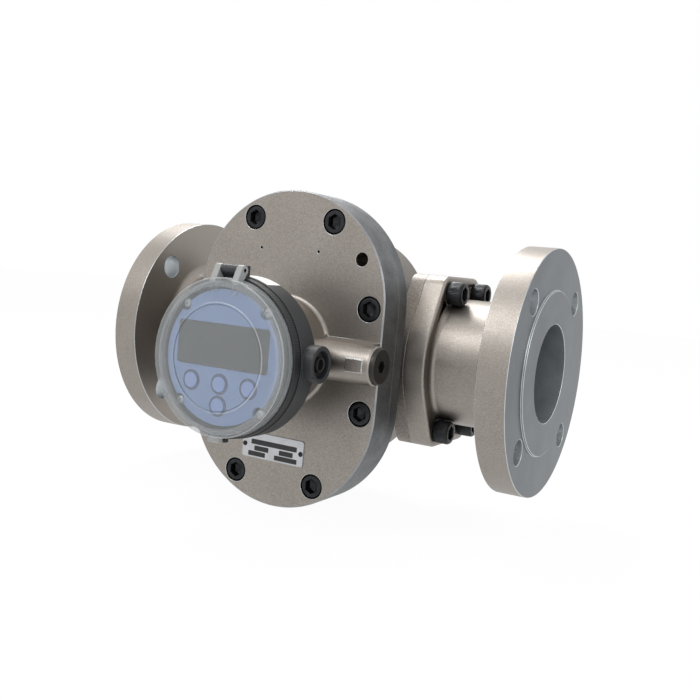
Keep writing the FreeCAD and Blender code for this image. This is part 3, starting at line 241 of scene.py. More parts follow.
@dataclass(frozen=True)
class Ribbed(Finish):
    """Moulding with fine ribs round an axis along Y: a sine of the angle, counted in whole ribs."""
    centre: tuple[float, float, float] = (0.0, 0.0, 0.0)
    ribs: int = 210

    def height(self, tree: bpy.types.NodeTree, place: bpy.types.NodeSocket) -> bpy.types.NodeSocket:
        """Make the ribs: half of one plus the sine of the angle times the number of ribs.

        Args:
            tree: the material's node tree.
            place: object coordinates.

        Returns:
            The ribs' height, 0 to 1.
        """
        offset = add(tree, "ShaderNodeVectorMath", {0: place, 1: self.centre}, operation="SUBTRACT")
        parts = add(tree, "ShaderNodeSeparateXYZ", {0: offset.outputs[0]})
        angle = add(tree, "ShaderNodeMath", {0: parts.outputs["Z"], 1: parts.outputs["X"]}, operation="ARCTAN2")
        count = add(tree, "ShaderNodeMath", {0: angle.outputs[0], 1: float(self.ribs)}, operation="MULTIPLY")
        wave = add(tree, "ShaderNodeMath", {0: count.outputs[0]}, operation="SINE")
        half = add(tree, "ShaderNodeMath", {0: wave.outputs[0], 1: 0.5, 2: 0.5}, operation="MULTIPLY_ADD")
        return half.outputs[0]


@dataclass(frozen=True)
class Frosted(Finish):
    """Frosted clear moulding: see-through with a milky film, so that what lies behind shows softly."""
    dark: str = ""
    roughness: tuple[float, float] = (0.3, 0.35)
    bump: float = 0.02
    film: float = 0.24

    def fill(self, tree: bpy.types.NodeTree) -> None:
        """Set a rough dielectric film over a clear straight view, by its alpha.

        Args:
            tree: the material's empty node tree.
        """
        place = add(tree, "ShaderNodeTexCoord").outputs["Object"]
        height = self.height(tree, place)
        bump = add(tree, "ShaderNodeBump", {"Height": height, "Strength": self.bump, "Distance": self.depth})
        shader = add(tree, "ShaderNodeBsdfPrincipled", {"Normal": bump.outputs["Normal"]})
        shader.inputs["Base Color"].default_value = linear(self.light)
        shader.inputs["Roughness"].default_value = self.roughness[0]
        shader.inputs["IOR"].default_value = self.ior
        shader.inputs["Alpha"].default_value = self.film
        add(tree, "ShaderNodeOutputMaterial", {"Surface": shader.outputs["BSDF"]})


# The middle of the display's front panel.
DIAL = sum(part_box("fascia"), Vector()) / 2

# Investment-cast 316 stainless, bead blasted: warm grey with a fine sparkle and soft wide highlights. The grit's
# real marks are near 0.2 mm, and the grain is drawn at 0.8 mm, so that it shows.
CAST = Finish("cast_stainless", "a59f99", "868079", 1.0, (0.34, 0.5), 0.8 * MM, 30 * MM, 0.6, 0.07 * MM,
              speckle=0.8)
# The meter body is a casting of its own; its skin is coloured darker than the others' as painted shade, where it lies
# behind the cover.
BODY_SHADED_CAST = Finish("body_casting_painted_shade", "858079", "686360", 1.0, (0.38, 0.54), 0.8 * MM, 30 * MM, 0.6, 0.07 * MM,
                   speckle=0.8)
# The body's port flanges keep the mould's rougher skin.
ROUGH_CAST = Finish("as_cast_stainless", "a39d97", "7b756f", 1.0, (0.44, 0.62), 1.3 * MM, 16 * MM, 0.7, 0.12 * MM,
                    speckle=0.7)
# Drilled stainless: bright as drilled steel is, and coloured lighter still as painted light, so that the bolt holes'
# walls stay bright where shade falls; with rings drawn 1.6 mm apart, coarser than a drill leaves them, so that they
# show.
BORED_PAINTED_LIGHT = Turned("bored_stainless_painted_light", "d4d8da", "a9aeb2", 1.0, (0.45, 0.55), bump=0.1, depth=0.05 * MM, pitch=1.6 * MM)
# The bore as blasted: rough enough to catch the light from its mouth.
BLASTED = Finish("blasted_bore", "a0a4a8", "8e9296", 1.0, (0.6, 0.7), 0.8 * MM, 14 * MM, 0.3, 0.04 * MM)
# Stainless faced on a lathe: cooler and smoother, with faint rings.
FACED = Turned("faced_stainless", "5d6368", "4f555a", 1.0, (0.26, 0.34), bump=0.05, depth=0.02 * MM)
# Stainless rim milled along the joint: darker and cooler than the cast skin, with soft mottling.
MILLED = Finish("milled_stainless", "7e8082", "5c5e60", 1.0, (0.46, 0.62), 1.2 * MM, 14 * MM, 0.12, 0.02 * MM,
                speckle=0.4)
# The turned chamfer along the cover's edge: a thin line coloured a little brighter than the rim, as painted
# highlight.
CHAMFER_HIGHLIGHT = Finish("turned_chamfer_highlight", "9fa1a3", "85878a", 1.0, (0.34, 0.46), 0.8 * MM, 8 * MM, 0.05)
# Rounded edges of the metal, coloured bright as painted highlight.
EDGE_HIGHLIGHT = Finish("painted_edge_highlight", "c8cccd", "b2b6b8", 1.0, (0.22, 0.3), 0.8 * MM, 8 * MM, 0.05)
# Black oxide on alloy steel screws: near black with a soft sheen.
BLACK_OXIDE = Finish("black_oxide_steel", "37383a", "27282a", 0.85, (0.28, 0.42), 0.5 * MM, 6 * MM, 0.15)
# The plug's face is the same oxide, handled to a browner grey.
PLUG = Finish("plug_oxide", "42403e", "343230", 0.85, (0.32, 0.45), 0.5 * MM, 8 * MM, 0.15)
# Ground and polished steel: bright, with crisp highlights.
BRIGHT = Finish("bright_steel", "c9cacc", "b4b6b8", 1.0, (0.16, 0.26), 0.4 * MM, 8 * MM, 0.05)
# Carbon bushes and washers: dull near-black.
CARBON = Finish("carbon_graphite", "2a2a2c", "1c1c1e", 0.0, (0.4, 0.55), 0.3 * MM, 6 * MM, 0.1)
# Nickel-plated magnets: a warm mirror.
MAGNET = Finish("nickel_plate", "cfccc4", "bab7ae", 1.0, (0.12, 0.2), 0.4 * MM, 6 * MM, 0.03)
# Nitrile seals: matt black.
RUBBER = Finish("nitrile_rubber", "1b1b1c", "121213", 0.0, (0.55, 0.7), 0.5 * MM, 6 * MM, 0.2)
# Glass-epoxy circuit board under green lacquer.
BOARD = Finish("glass_epoxy_board", "1f5a37", "17472b", 0.0, (0.3, 0.4), 0.5 * MM, 6 * MM, 0.05, coat=0.3)
# Glass-filled nylon housing: dark grey with a fine spark-eroded texture.
HOUSING = Finish("glass_filled_nylon", "26282b", "1f2124", 0.0, (0.42, 0.55), 0.5 * MM, 20 * MM, 0.25, 0.03 * MM)
# The same nylon moulded with fine ribs round the front ring.
RIBS = Ribbed("ribbed_nylon", "1e2022", "121314", 0.0, (0.36, 0.5), bump=0.7, depth=0.25 * MM, speckle=0.8,
              centre=tuple(DIAL))
# Printed polyester film on the front panel: even blue-grey with a satin sheen.
FASCIA = Finish("fascia_film", "6e87b0", "6881aa", 0.0, (0.35, 0.42), 0.4 * MM, 25 * MM, 0.04)
# Dark display glass, smooth enough for a clear highlight, and the moulded carrier behind it.
LCD = Finish("lcd_glass", "232427", "1f2023", 0.0, (0.14, 0.2), 0.4 * MM, 30 * MM, 0.01, coat=0.5)
LCD_BODY = Finish("lcd_carrier", "2b2d2f", "232527", 0.0, (0.4, 0.5))
# Silicone keys, a lighter blue than the panel; their sides and shoulders are coloured darker as painted shade, and
# the low moulded rims round them are coloured dark as painted shade of the gap round each key.
KEYS = Finish("silicone_keys", "7c92c4", "748abc", 0.0, (0.4, 0.5), 0.4 * MM, 6 * MM, 0.05)
KEY_SIDE_SHADE = Finish("silicone_key_side_shade", "586ea0", "50669a", 0.0, (0.4, 0.5), 0.4 * MM, 6 * MM, 0.05)
KEY_RIM_SHADE = Finish("moulded_key_rim_shade", "34486a", "2c4060", 0.0, (0.4, 0.5), 0.4 * MM, 6 * MM, 0.05)
# Shrink wrap on the cells: dark blue and glossy.
BATTERY = Finish("shrink_wrap", "26304f", "1f2842", 0.0, (0.25, 0.35))
# Acetal: plain black with a low sheen.
BLACK = Finish("black_acetal", "1a1b1c", "121313", 0.0, (0.35, 0.5), 0.4 * MM, 6 * MM, 0.12)
# Brushed metal plate, its printed dark fields, and the plain white label film.
PLATE = Finish("brushed_plate", "c2c4c7", "adafb2", 1.0, (0.3, 0.4), 0.3 * MM, 10 * MM, 0.08)
PRINT = Finish("printed_enamel", "1c1c1d", "161617", 0.0, (0.3, 0.4), 0.4 * MM, 6 * MM, 0.03)
LABEL = Finish("label_film", "ecece9", "e4e4e1", 0.0, (0.35, 0.45), 0.5 * MM, 10 * MM, 0.03)
# Zinc-plated panel screws, dulled.
DULL = Finish("dulled_zinc", "bcbec0", "a2a4a7", 1.0, (0.3, 0.4), 0.4 * MM, 6 * MM, 0.1)
# Frosted polycarbonate lid: a smoky veil over what lies behind, denser at its edges and in the hinge ears. Its side
# wall and the ring's inner slope are coloured darker as painted shade, and the ring's outer slope and the edge's
# corners lighter as painted highlight.
LID = Frosted("frosted_polycarbonate", "b0b4b6", film=0.17)
LID_EDGE_HIGHLIGHT = Frosted("polycarbonate_edge_highlight", "dcdede", roughness=(0.2, 0.25), film=0.34)
LID_RIM = Frosted("polycarbonate_rim", "b4b8ba", film=0.27)
LID_SHADE = Frosted("polycarbonate_painted_shade", "50555a", film=0.6)
LID_WALL_SHADE = Frosted("polycarbonate_wall_shade", "8a8e90", bump=0.04, film=0.45)
LID_EAR = Frosted("polycarbonate_ear", "9c9e9e", bump=0.05, film=0.8)


# Meshes

def piece(name: str, mesh: bpy.types.Mesh, finishes: Sequence[Finish], body: Body, *nodes: str) -> bpy.types.Object:
    """Put a mesh into the scene as a piece of the meter.

    Args:
        name: the piece's name.
        mesh: its mesh, in the frame's coordinates.
        finishes: one finish for each material index.
        body: what it moves with.
        nodes: the CAD nodes that it stands for.

    Returns:
        The new object.
    """
    made = bpy.data.objects.new(name, mesh)
    bpy.context.scene.collection.objects.link(made)
    mesh.materials.clear()
    for finish in finishes:
        mesh.materials.append(finish.material())
    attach(made, body.value)
    if nodes:
        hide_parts(*nodes)
    LOG.info("%s: %d faces", name, len(mesh.polygons))
    return made


def solid(name: str, points: list, faces: list) -> bpy.types.Mesh:
    """Make a mesh whose doubles are merged, poles closed and faces turned outwards, smooth up to the sharp angle.

    Args:
        name: its name.
        points: its points, in metres.
        faces: the numbers of each face's points.

    Returns:
        The mesh.
    """
    mesh = bpy.data.meshes.new(name)
    mesh.from_pydata(points, [], faces)
    work = bmesh.new()
    work.from_mesh(mesh)
    bmesh.ops.remove_doubles(work, verts=work.verts, dist=MERGE)
    bmesh.ops.recalc_face_normals(work, faces=work.faces)
    work.to_mesh(mesh)
    work.free()
    mesh.shade_smooth()
    mesh.set_sharp_from_angle(angle=SHARP_ANGLE)
    return mesh


def turned(name: str, rows: np.ndarray, steps: int, places: Sequence[Sequence[float]], facing: Facing,
           radius: Callable[[np.ndarray, np.ndarray], np.ndarray] | None = None) -> bpy.types.Mesh:
    """Turn a profile about an axis, at several places, into one mesh.

    A point is place + axis * height + radius * (cos a, sin a) across the axis, where the radius may also
    depend on the angle a, as on a knurl or in a hexagon socket.

    Args:
        name: the mesh's name.
        rows: (radius, height) pairs along the profile, in metres.
        steps: columns round the axis.
        places: the seats of the pieces, in metres.
        facing: the way they point.
        radius: changes the grid of radii, given the radii and the angles.

    Returns:
        The mesh.
    """
    angles = np.linspace(0, 2 * np.pi, steps, endpoint=False)
    reach = np.repeat(rows[:, :1], steps, axis=1)
    if radius:
        reach = radius(reach, np.broadcast_to(angles, reach.shape))
    axis, up = np.array(facing.value), np.array((0.0, 0.0, 1.0))
    across = np.cross(up, axis)
    one = (reach * np.cos(angles))[..., None] * across + (reach * np.sin(angles))[..., None] * up
    one = one + rows[:, 1, None, None] * axis
    points = np.concatenate([one + np.array(place) for place in places], axis=0)
    count = len(rows)
    index = np.arange(len(points) * steps).reshape(len(places), count, steps)
    after = np.roll(index, -1, axis=2)
    faces = np.stack([index[:, :-1], after[:, :-1], after[:, 1:], index[:, 1:]], axis=-1).reshape(-1, 4)
    return solid(name, points.reshape(-1, 3).tolist(), faces.tolist())


def mark(mesh: bpy.types.Mesh, zones: Zones) -> None:
    """Give each face the material of its zone.

    Args:
        mesh: the mesh, with its materials in place.
        zones: gives each face's zone.
    """
    count = len(mesh.polygons)
    centres = np.empty(count * 3)
    normals = np.empty(count * 3)
    mesh.polygons.foreach_get("center", centres)
    mesh.polygons.foreach_get("normal", normals)
    chosen = zones(centres.reshape(-1, 3), normals.reshape(-1, 3)).astype(np.int32)
    mesh.polygons.foreach_set("material_index", chosen)


def soften(made: bpy.types.Object, width: float, angle: float = 30) -> bpy.types.Modifier:
    """Round an object's sharp edges.

    Args:
        made: the object.
        width: the rounding's width in millimetres.
        angle: the least angle in degrees of an edge that is rounded.

    Returns:
        The modifier that does it.
    """
    edge = made.modifiers.new("edge", "BEVEL")
    edge.width = width * MM
    edge.segments = 2
    edge.limit_method = "ANGLE"
    edge.angle_limit = math.radians(angle)
    edge.harden_normals = True
    edge.use_clamp_overlap = False
    return edge


def dress(node: str, finishes: Sequence[Finish], body: Body = Body.METER, bevel: float = 0.4,
          zones: Zones | None = None, corner: Finish | None = None, angle: float = 30) -> bpy.types.Object:
    """Copy a CAD node into a piece with rounded edges and a finish for each of its zones.

    Args:
        node: the CAD node.
        finishes: one finish for each zone number.
        body: what it moves with.
        bevel: the width of the edge rounding in millimetres, or 0.
        zones: gives a zone number for each face from its centre and normal.
        corner: the finish of the rounded edges, where it differs, such as a painted highlight.
        angle: the least angle in degrees of an edge that is rounded.

    Returns:
        The piece.
    """
    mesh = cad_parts[node].data.copy()
    for old in [a.name for a in mesh.attributes if "normal" in a.name]:
        mesh.attributes.remove(mesh.attributes[old])
    work = bmesh.new()
    work.from_mesh(mesh)
    bmesh.ops.remove_doubles(work, verts=work.verts, dist=MERGE)
    bmesh.ops.dissolve_degenerate(work, dist=SLIVER, edges=work.edges)
    bmesh.ops.dissolve_limit(work, angle_limit=FLAT_ANGLE, verts=work.verts, edges=work.edges)
    work.to_mesh(mesh)
    work.free()
    mesh.shade_smooth()
    mesh.set_sharp_from_angle(angle=CAD_SHARP_ANGLE)
    made = piece(f"{node}_dressed", mesh, [*finishes, *([corner] if corner else [])], body, node)
    if zones:
        mark(mesh, zones)
    if bevel:
        edge = soften(made, bevel, angle=angle)
        if corner:
            edge.material = len(finishes)
    return made


def prisms(name: str, outlines: Sequence[np.ndarray], spans: Sequence[Sequence[float]]) -> bpy.types.Mesh:
    """Make bars along X, each from an outline of (y, z) points and a span of x.

    Args:
        name: the mesh's name.
        outlines: the bars' outlines, in order round each.
        spans: where each bar starts and ends.

    Returns:
        The mesh.
    """
    points: list[tuple[float, float, float]] = []
    faces: list[list[int]] = []
    for outline, span in zip(outlines, spans):
        first, count = len(points), len(outline)
        points += [(x, *place) for x in span for place in outline.tolist()]
        ring = [first + i for i in range(count)]
        after = ring[1:] + ring[:1]
        faces += [ring, [i + count for i in reversed(ring)]]
        faces += [[a, a + count, b + count, b] for a, b in zip(ring, after)]
    return solid(name, points, faces)


def hull(circles: Sequence[tuple[float, float, float]]) -> np.ndarray:
    """Outline a belt round circles: at each direction the farthest point, middle + radius * direction.

    Args:
        circles: middle across, middle up and radius of each.

    Returns:
        The outline's points.
    """
    rings = np.array(circles)
    turns = np.linspace(0, 2 * np.pi, 48, endpoint=False)
    ways = np.stack([np.cos(turns), np.sin(turns)], axis=1)
    far = np.argmax(rings[:, :2] @ ways.T + rings[:, 2:], axis=0)
    return rings[far, :2] + rings[far, 2:] * ways


def tiles(name: str, spans: Sequence[Sequence[float]], face: float, sink: float, rise: float) -> bpy.types.Mesh:
    """Make flat raised fields with rounded corners on a face that looks towards -Y.

    A point of a field's outline at the angle a is centre + half size * sign(cos a) |cos a|^(1/8), and the
    same with sin a upwards, a superellipse of order 16. The rows go up its side and close at its centre.

    Args:
        name: the mesh's name.
        spans: left, right, low and high of each field, in metres.
        face: the face's place along Y.
        sink: how deep the fields start behind the face.
        rise: how far they stand proud of it.

    Returns:
        The mesh.
    """
    angle = np.linspace(0, 2 * np.pi, 64, endpoint=False)
    outline = np.stack([np.sign(f) * np.abs(f) ** (1 / 8) for f in (np.cos(angle), np.sin(angle))], axis=-1)
    box = np.array(spans)
    centre = (box[:, [0, 2]] + box[:, [1, 3]]) / 2
    half = (box[:, [1, 3]] - box[:, [0, 2]]) / 2
    scale = np.array((1.0, 1.0, 0.0))
    depth = np.array((face + sink, face - rise, face - rise))
    flat = centre[:, None, None] + half[:, None, None] * scale[None, :, None, None] * outline[None, None]
    high = np.broadcast_to(depth[None, :, None], flat.shape[:3])
    points = np.stack([flat[..., 0], high, flat[..., 1]], axis=-1)
    index = np.arange(points.size // 3).reshape(points.shape[:3])
    after = np.roll(index, -1, axis=2)
    faces = np.stack([index[:, :-1], index[:, 1:], after[:, 1:], after[:, :-1]], axis=-1).reshape(-1, 4)
    return solid(name, points.reshape(-1, 3).tolist(), faces.tolist())


# Sub-assemblies

@dataclass
class CapScrews:
    """Socket head cap screws with knurled heads."""
    name: str
    node: str
    seats: Sequence[Sequence[float]]
    facing: Facing
    head_radius: float = 9.0 * MM
    head_height: float = 12.0 * MM
    socket_flats: float = 10.0 * MM
    socket_depth: float = 6.5 * MM
    shank_radius: float = 6.0 * MM
    shank_length: float = 23.5 * MM
    edge: float = 0.9 * MM
    teeth: int = 48
    knurl: float = 0.22 * MM
    columns: int = 192
    finish: Finish = BLACK_OXIDE

    def rows(self) -> tuple[np.ndarray, tuple[int, ...], tuple[int, ...]]:
        """Lay out the profile of a screw with a knurled head and a hexagon socket.

        Returns:
            Its (radius, height) rows, which of them are knurled, and which are hexagonal.
        """
        head, top, flats = self.head_radius, self.head_height, self.socket_flats / 2
        floor = top - self.socket_depth
        # The shank, the head's rounded foot, its knurled side, its chamfered top, the socket and its drill point.
        rows = np.array([
            (0, -self.shank_length), (self.shank_radius, -self.shank_length), (self.shank_radius, 0),
            (head - self.edge, 0), (head - self.knurl, self.edge * 0.6), (head, self.edge), (head, top * 0.4),
            (head, top - self.edge * 1.5), (head - self.knurl, top - self.edge * 1.2),
            (head - self.edge, top - 0.1 * MM), (head - self.edge * 1.3, top),
            (flats * 1.3, top), (flats * 1.02, top), (flats, top - 0.25 * MM), (flats, floor),
            (flats * 0.5, floor - 1 * MM), (0, floor - 1.2 * MM),
        ])
        return rows, (5, 6, 7), (12, 13, 14)

    def build(self) -> bpy.types.Object:
        """Build the screws: a turned profile whose side is waved by the knurl and whose socket is a hexagon.

        Returns:
            The screws, as one piece.
        """
        rows, waved, bent = self.rows()
        knurled, hexed = (np.isin(np.arange(len(rows)), chosen) for chosen in (waved, bent))

        def shape(reach: np.ndarray, angle: np.ndarray) -> np.ndarray:
            """Wave the knurled rows by a cosine, and bend the socket's rows to a hexagon's radius flats / cos."""
            wave = self.knurl * (0.5 - 0.5 * np.cos(self.teeth * angle)) * knurled[:, None]
            corner = 1 / np.cos((angle + np.pi / 6) % (np.pi / 3) - np.pi / 6)
            return reach - wave + reach * (corner - 1) * hexed[:, None]

        mesh = turned(self.name, rows, self.columns, self.seats, self.facing, shape)
        return piece(self.name, mesh, [self.finish], Body.METER, self.node)


@dataclass
class PanScrews(CapScrews):
    """Small screws with a domed head: radius falls as the square root of the height left."""
    columns: int = 72
    dome_share: float = 0.75

    def rows(self) -> tuple[np.ndarray, tuple[int, ...], tuple[int, ...]]:
        """Lay out the profile of a domed screw.

        Returns:
            Its (radius, height) rows, none that are knurled, and the hexagonal ones.
        """
        head, top, flats = self.head_radius, self.head_height, self.socket_flats / 2
        left = np.linspace(self.dome_share, 0.0, 7)
        crown = flats * 1.3
        dome = np.stack([crown + (head - crown) * np.sqrt(left / self.dome_share), top * (1 - left)], 1)
        rows = np.concatenate([
            np.array([(0, -self.shank_length), (self.shank_radius, -self.shank_length),
                      (self.shank_radius, 0), (head, 0)]),
            dome, np.array([(flats, top), (flats, top - self.socket_depth), (0, top - self.socket_depth)])])
        return rows, (), (len(rows) - 3, len(rows) - 2)


@dataclass
class Castings:
    """The body, cover and the two adapters, with their machined faces picked out."""
    rim_radius: float = 82.5 * MM
    gear_offset: float = 38.0 * MM
    seam_front: float = 77.0 * MM
    cover_thickness: float = 23.3 * MM
    body_rim_thickness: float = 13.0 * MM
    face_to_face: float = 355.0 * MM
    raised_face: float = 1.6 * MM
    flange_thickness: float = 22.4 * MM
    bore: float = 38.0 * MM
    joint_reach: float = 82.5 * MM
    port_flange: float = 12.0 * MM
    pin_spread: float = 25.5 * MM
    pin_centre: float = -1.6 * MM
    pin_rise: float = 76.0 * MM
    pin_reach: float = 1.4 * MM
    margin: float = 0.5 * MM
    seam_margin: float = 0.2 * MM
    front_margin: float = 0.1 * MM
    face_margin: float = 0.3 * MM
    rim_margin: float = 1.4 * MM
    bolt_ring: tuple[float, float] = (62.0 * MM, 88.0 * MM)

    @property
    def middle(self) -> float:
        """The meter's middle along the pipe."""
        return self.face_to_face / 2 - self.raised_face

    def rim(self, centre: np.ndarray) -> np.ndarray:
        """Find the faces on the obround rim: as far from the nearer arc's axis as the rim's radius.

        Args:
            centre: the faces' centres.

        Returns:
            True for each face on the rim.
        """
        across = centre[:, 0] - self.middle
        up = np.maximum(np.abs(centre[:, 2]) - self.gear_offset, 0)
        return np.hypot(across, up) > self.rim_radius - self.rim_margin

    def cover_zones(self, centre: np.ndarray, normal: np.ndarray) -> np.ndarray:
        """Zone 1 is the milled rim and the inside, 2 the pin holes, lined black as painted shade, 3 the rim's
        chamfer, lighter as painted highlight, 0 the cast skin.

        Args:
            centre: the faces' centres.
            normal: the faces' normals.

        Returns:
            Each face's zone.
        """
        back = centre[:, 1] > -self.seam_front - self.seam_margin
        low = centre[:, 1] > -(self.seam_front + self.cover_thickness + self.front_margin)
        across = np.abs(np.abs(centre[:, 0] - self.middle - self.pin_centre) - self.pin_spread)
        # The pin holes' walls are coloured black as painted shade.
        pin_hole_shade = (np.hypot(across, centre[:, 2] - self.pin_rise) < self.pin_reach) & (np.abs(normal[:, 1]) < SIDE)
        rim = self.rim(centre) & low
        slope = rim & (normal[:, 1] < -SHEER) & (normal[:, 1] > -FLAT)
        return np.select([pin_hole_shade, slope, rim | back], [2, 3, 1], 0)

    def body_zones(self, centre: np.ndarray, normal: np.ndarray) -> np.ndarray:
        """Zone 1 is the milled rim, 2 the rough port flanges, 0 the cast skin, coloured darker as painted shade.

        Args:
            centre: the faces' centres.
            normal: the faces' normals; not used.

        Returns:
            Each face's zone.
        """
        across = np.abs(centre[:, 0] - self.middle)
        behind = centre[:, 1] + self.seam_front - self.body_rim_thickness
        port = (across > self.joint_reach - self.port_flange - 2 * self.margin) & (behind > 2 * self.margin)
        rim = self.rim(centre) & (behind < self.margin)
        return np.select([rim, port], [1, 2], 0)

    def adapter_zones(self, centre: np.ndarray, normal: np.ndarray) -> np.ndarray:
        """Zone 1 is the faced side of the flange, 2 the bolt holes, coloured lighter as painted light, 3 the bore, 0
        the cast skin.

        Args:
            centre: the faces' centres.
            normal: the faces' normals.

        Returns:
            Each face's zone.
        """
        across = np.abs(centre[:, 0] - self.middle)
        reach = np.hypot(centre[:, 1], centre[:, 2])
        end = self.face_to_face / 2
        faced = across > end - self.raised_face - self.face_margin
        bore = (reach < self.bore + self.margin) & (np.abs(normal[:, 0]) < SIDE)
        inner, outer = self.bolt_ring
        holes = across > end - self.flange_thickness - self.raised_face + self.margin
        holes &= (np.abs(normal[:, 0]) < SHEER) & (reach > inner) & (reach < outer)
        return np.select([bore, holes, faced], [3, 2, 1], 0)

    def build(self) -> None:
        """Dress the four castings."""
        # The body's cast skin takes a darker colour as painted shade.
        dress("meter_body", [BODY_SHADED_CAST, MILLED, ROUGH_CAST], zones=self.body_zones, bevel=0.4)
        # The cover's chamfer is in its mesh, so only the edges that are steeper than it are rounded.
        # Its chamfer is coloured lighter than the rim as painted highlight.
        # Its rounded edges, and the adapters', are coloured bright as painted highlight.
        dress("front_cover", [CAST, MILLED, BLACK, CHAMFER_HIGHLIGHT], zones=self.cover_zones, bevel=0.3, corner=EDGE_HIGHLIGHT,
              angle=50)
        # The adapters' bolt holes are coloured lighter as painted light.
        for side in ("inlet", "outlet"):
            dress(f"{side}_adapter", [CAST, FACED, BORED_PAINTED_LIGHT, BLASTED], zones=self.adapter_zones, bevel=0.45,
                  corner=EDGE_HIGHLIGHT)


@dataclass
class Fasteners:
    """The cap screws of the cover and of both adapters."""
    castings: Castings
    bolt_circle: float = 70.0 * MM
    head_recess: float = 0.3 * MM
    ear_depth: float = 25.0 * MM
    ear_height: float = 54.0 * MM
    pad_face_reach: float = 100.0 * MM
    adapter_shank: float = 28.0 * MM
    cover_angles: tuple[int, ...] = (0, 60, 120, 180)

    def build(self) -> None:
        """Build the cover's eight screws and the four screws of each adapter."""
        part = self.castings
        front = part.seam_front + part.cover_thickness - self.head_recess - CapScrews.head_height
        turns = np.radians(self.cover_angles)
        top = np.stack([self.bolt_circle * np.cos(turns), self.bolt_circle * np.sin(turns) + part.gear_offset], 1)
        spots = np.concatenate([top, -top])
        seats = np.stack([spots[:, 0] + part.middle, np.full(len(spots), -front), spots[:, 1]], 1)
        CapScrews("cover_cap_screws", "cover_screws", seats, Facing.FRONT).build()
        for side, way, facing in (("inlet", -1, Facing.INLET), ("outlet", 1, Facing.OUTLET)):
            seats = [(part.middle + way * self.pad_face_reach, self.ear_depth * i, self.ear_height * j)
                     for i in (-1, 1) for j in (-1, 1)]
            CapScrews(f"{side}_cap_screws", f"{side}_adapter_screws", seats, facing,
                      shank_length=self.adapter_shank).build()


@dataclass
class Works:
    """The measuring works inside the castings."""
    finishes: dict[str, Finish] = field(default_factory=lambda: {
        "inlet_port_seal": RUBBER, "outlet_port_seal": RUBBER, "cover_dowels": BRIGHT, "cover_seal": RUBBER,
        "upper_gear_shaft": BRIGHT, "lower_gear_shaft": BRIGHT,
        "upper_thrust_washers": CARBON, "lower_thrust_washers": CARBON,
        "pickup_board": BOARD, "pickup_sensors": BLACK, "pickup_board_screws": BRIGHT,
        "housing_gasket": RUBBER, "housing_screws": BRIGHT, "bezel_seal": RUBBER,
        "battery_cells": BATTERY, "display_board": BOARD, "lcd_module": LCD_BODY, "key_switches": BLACK,
    })

    def build(self) -> None:
        """Dress the inner pieces, and the gears with what turns on them."""
        for node, finish in self.finishes.items():
            dress(node, [finish], bevel=0.15)
        for end, body in (("upper", Body.UPPER_GEAR), ("lower", Body.LOWER_GEAR)):
            low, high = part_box(f"{end}_oval_gear")
            # Hobbed and faced steel, with its rings about the gear's own axis.
            steel = Turned(f"{end}_gear_steel", "a2a5a9", "8c8f93", 1.0, (0.26, 0.38), bump=0.08,
                           axis=(0.0, 1.0, 0.0), centre=tuple((low + high) / 2))
            for node, finish in (("oval_gear", steel), ("gear_bush", CARBON), ("gear_magnets", MAGNET)):
                dress(f"{end}_{node}", [finish], body, bevel=0.2)


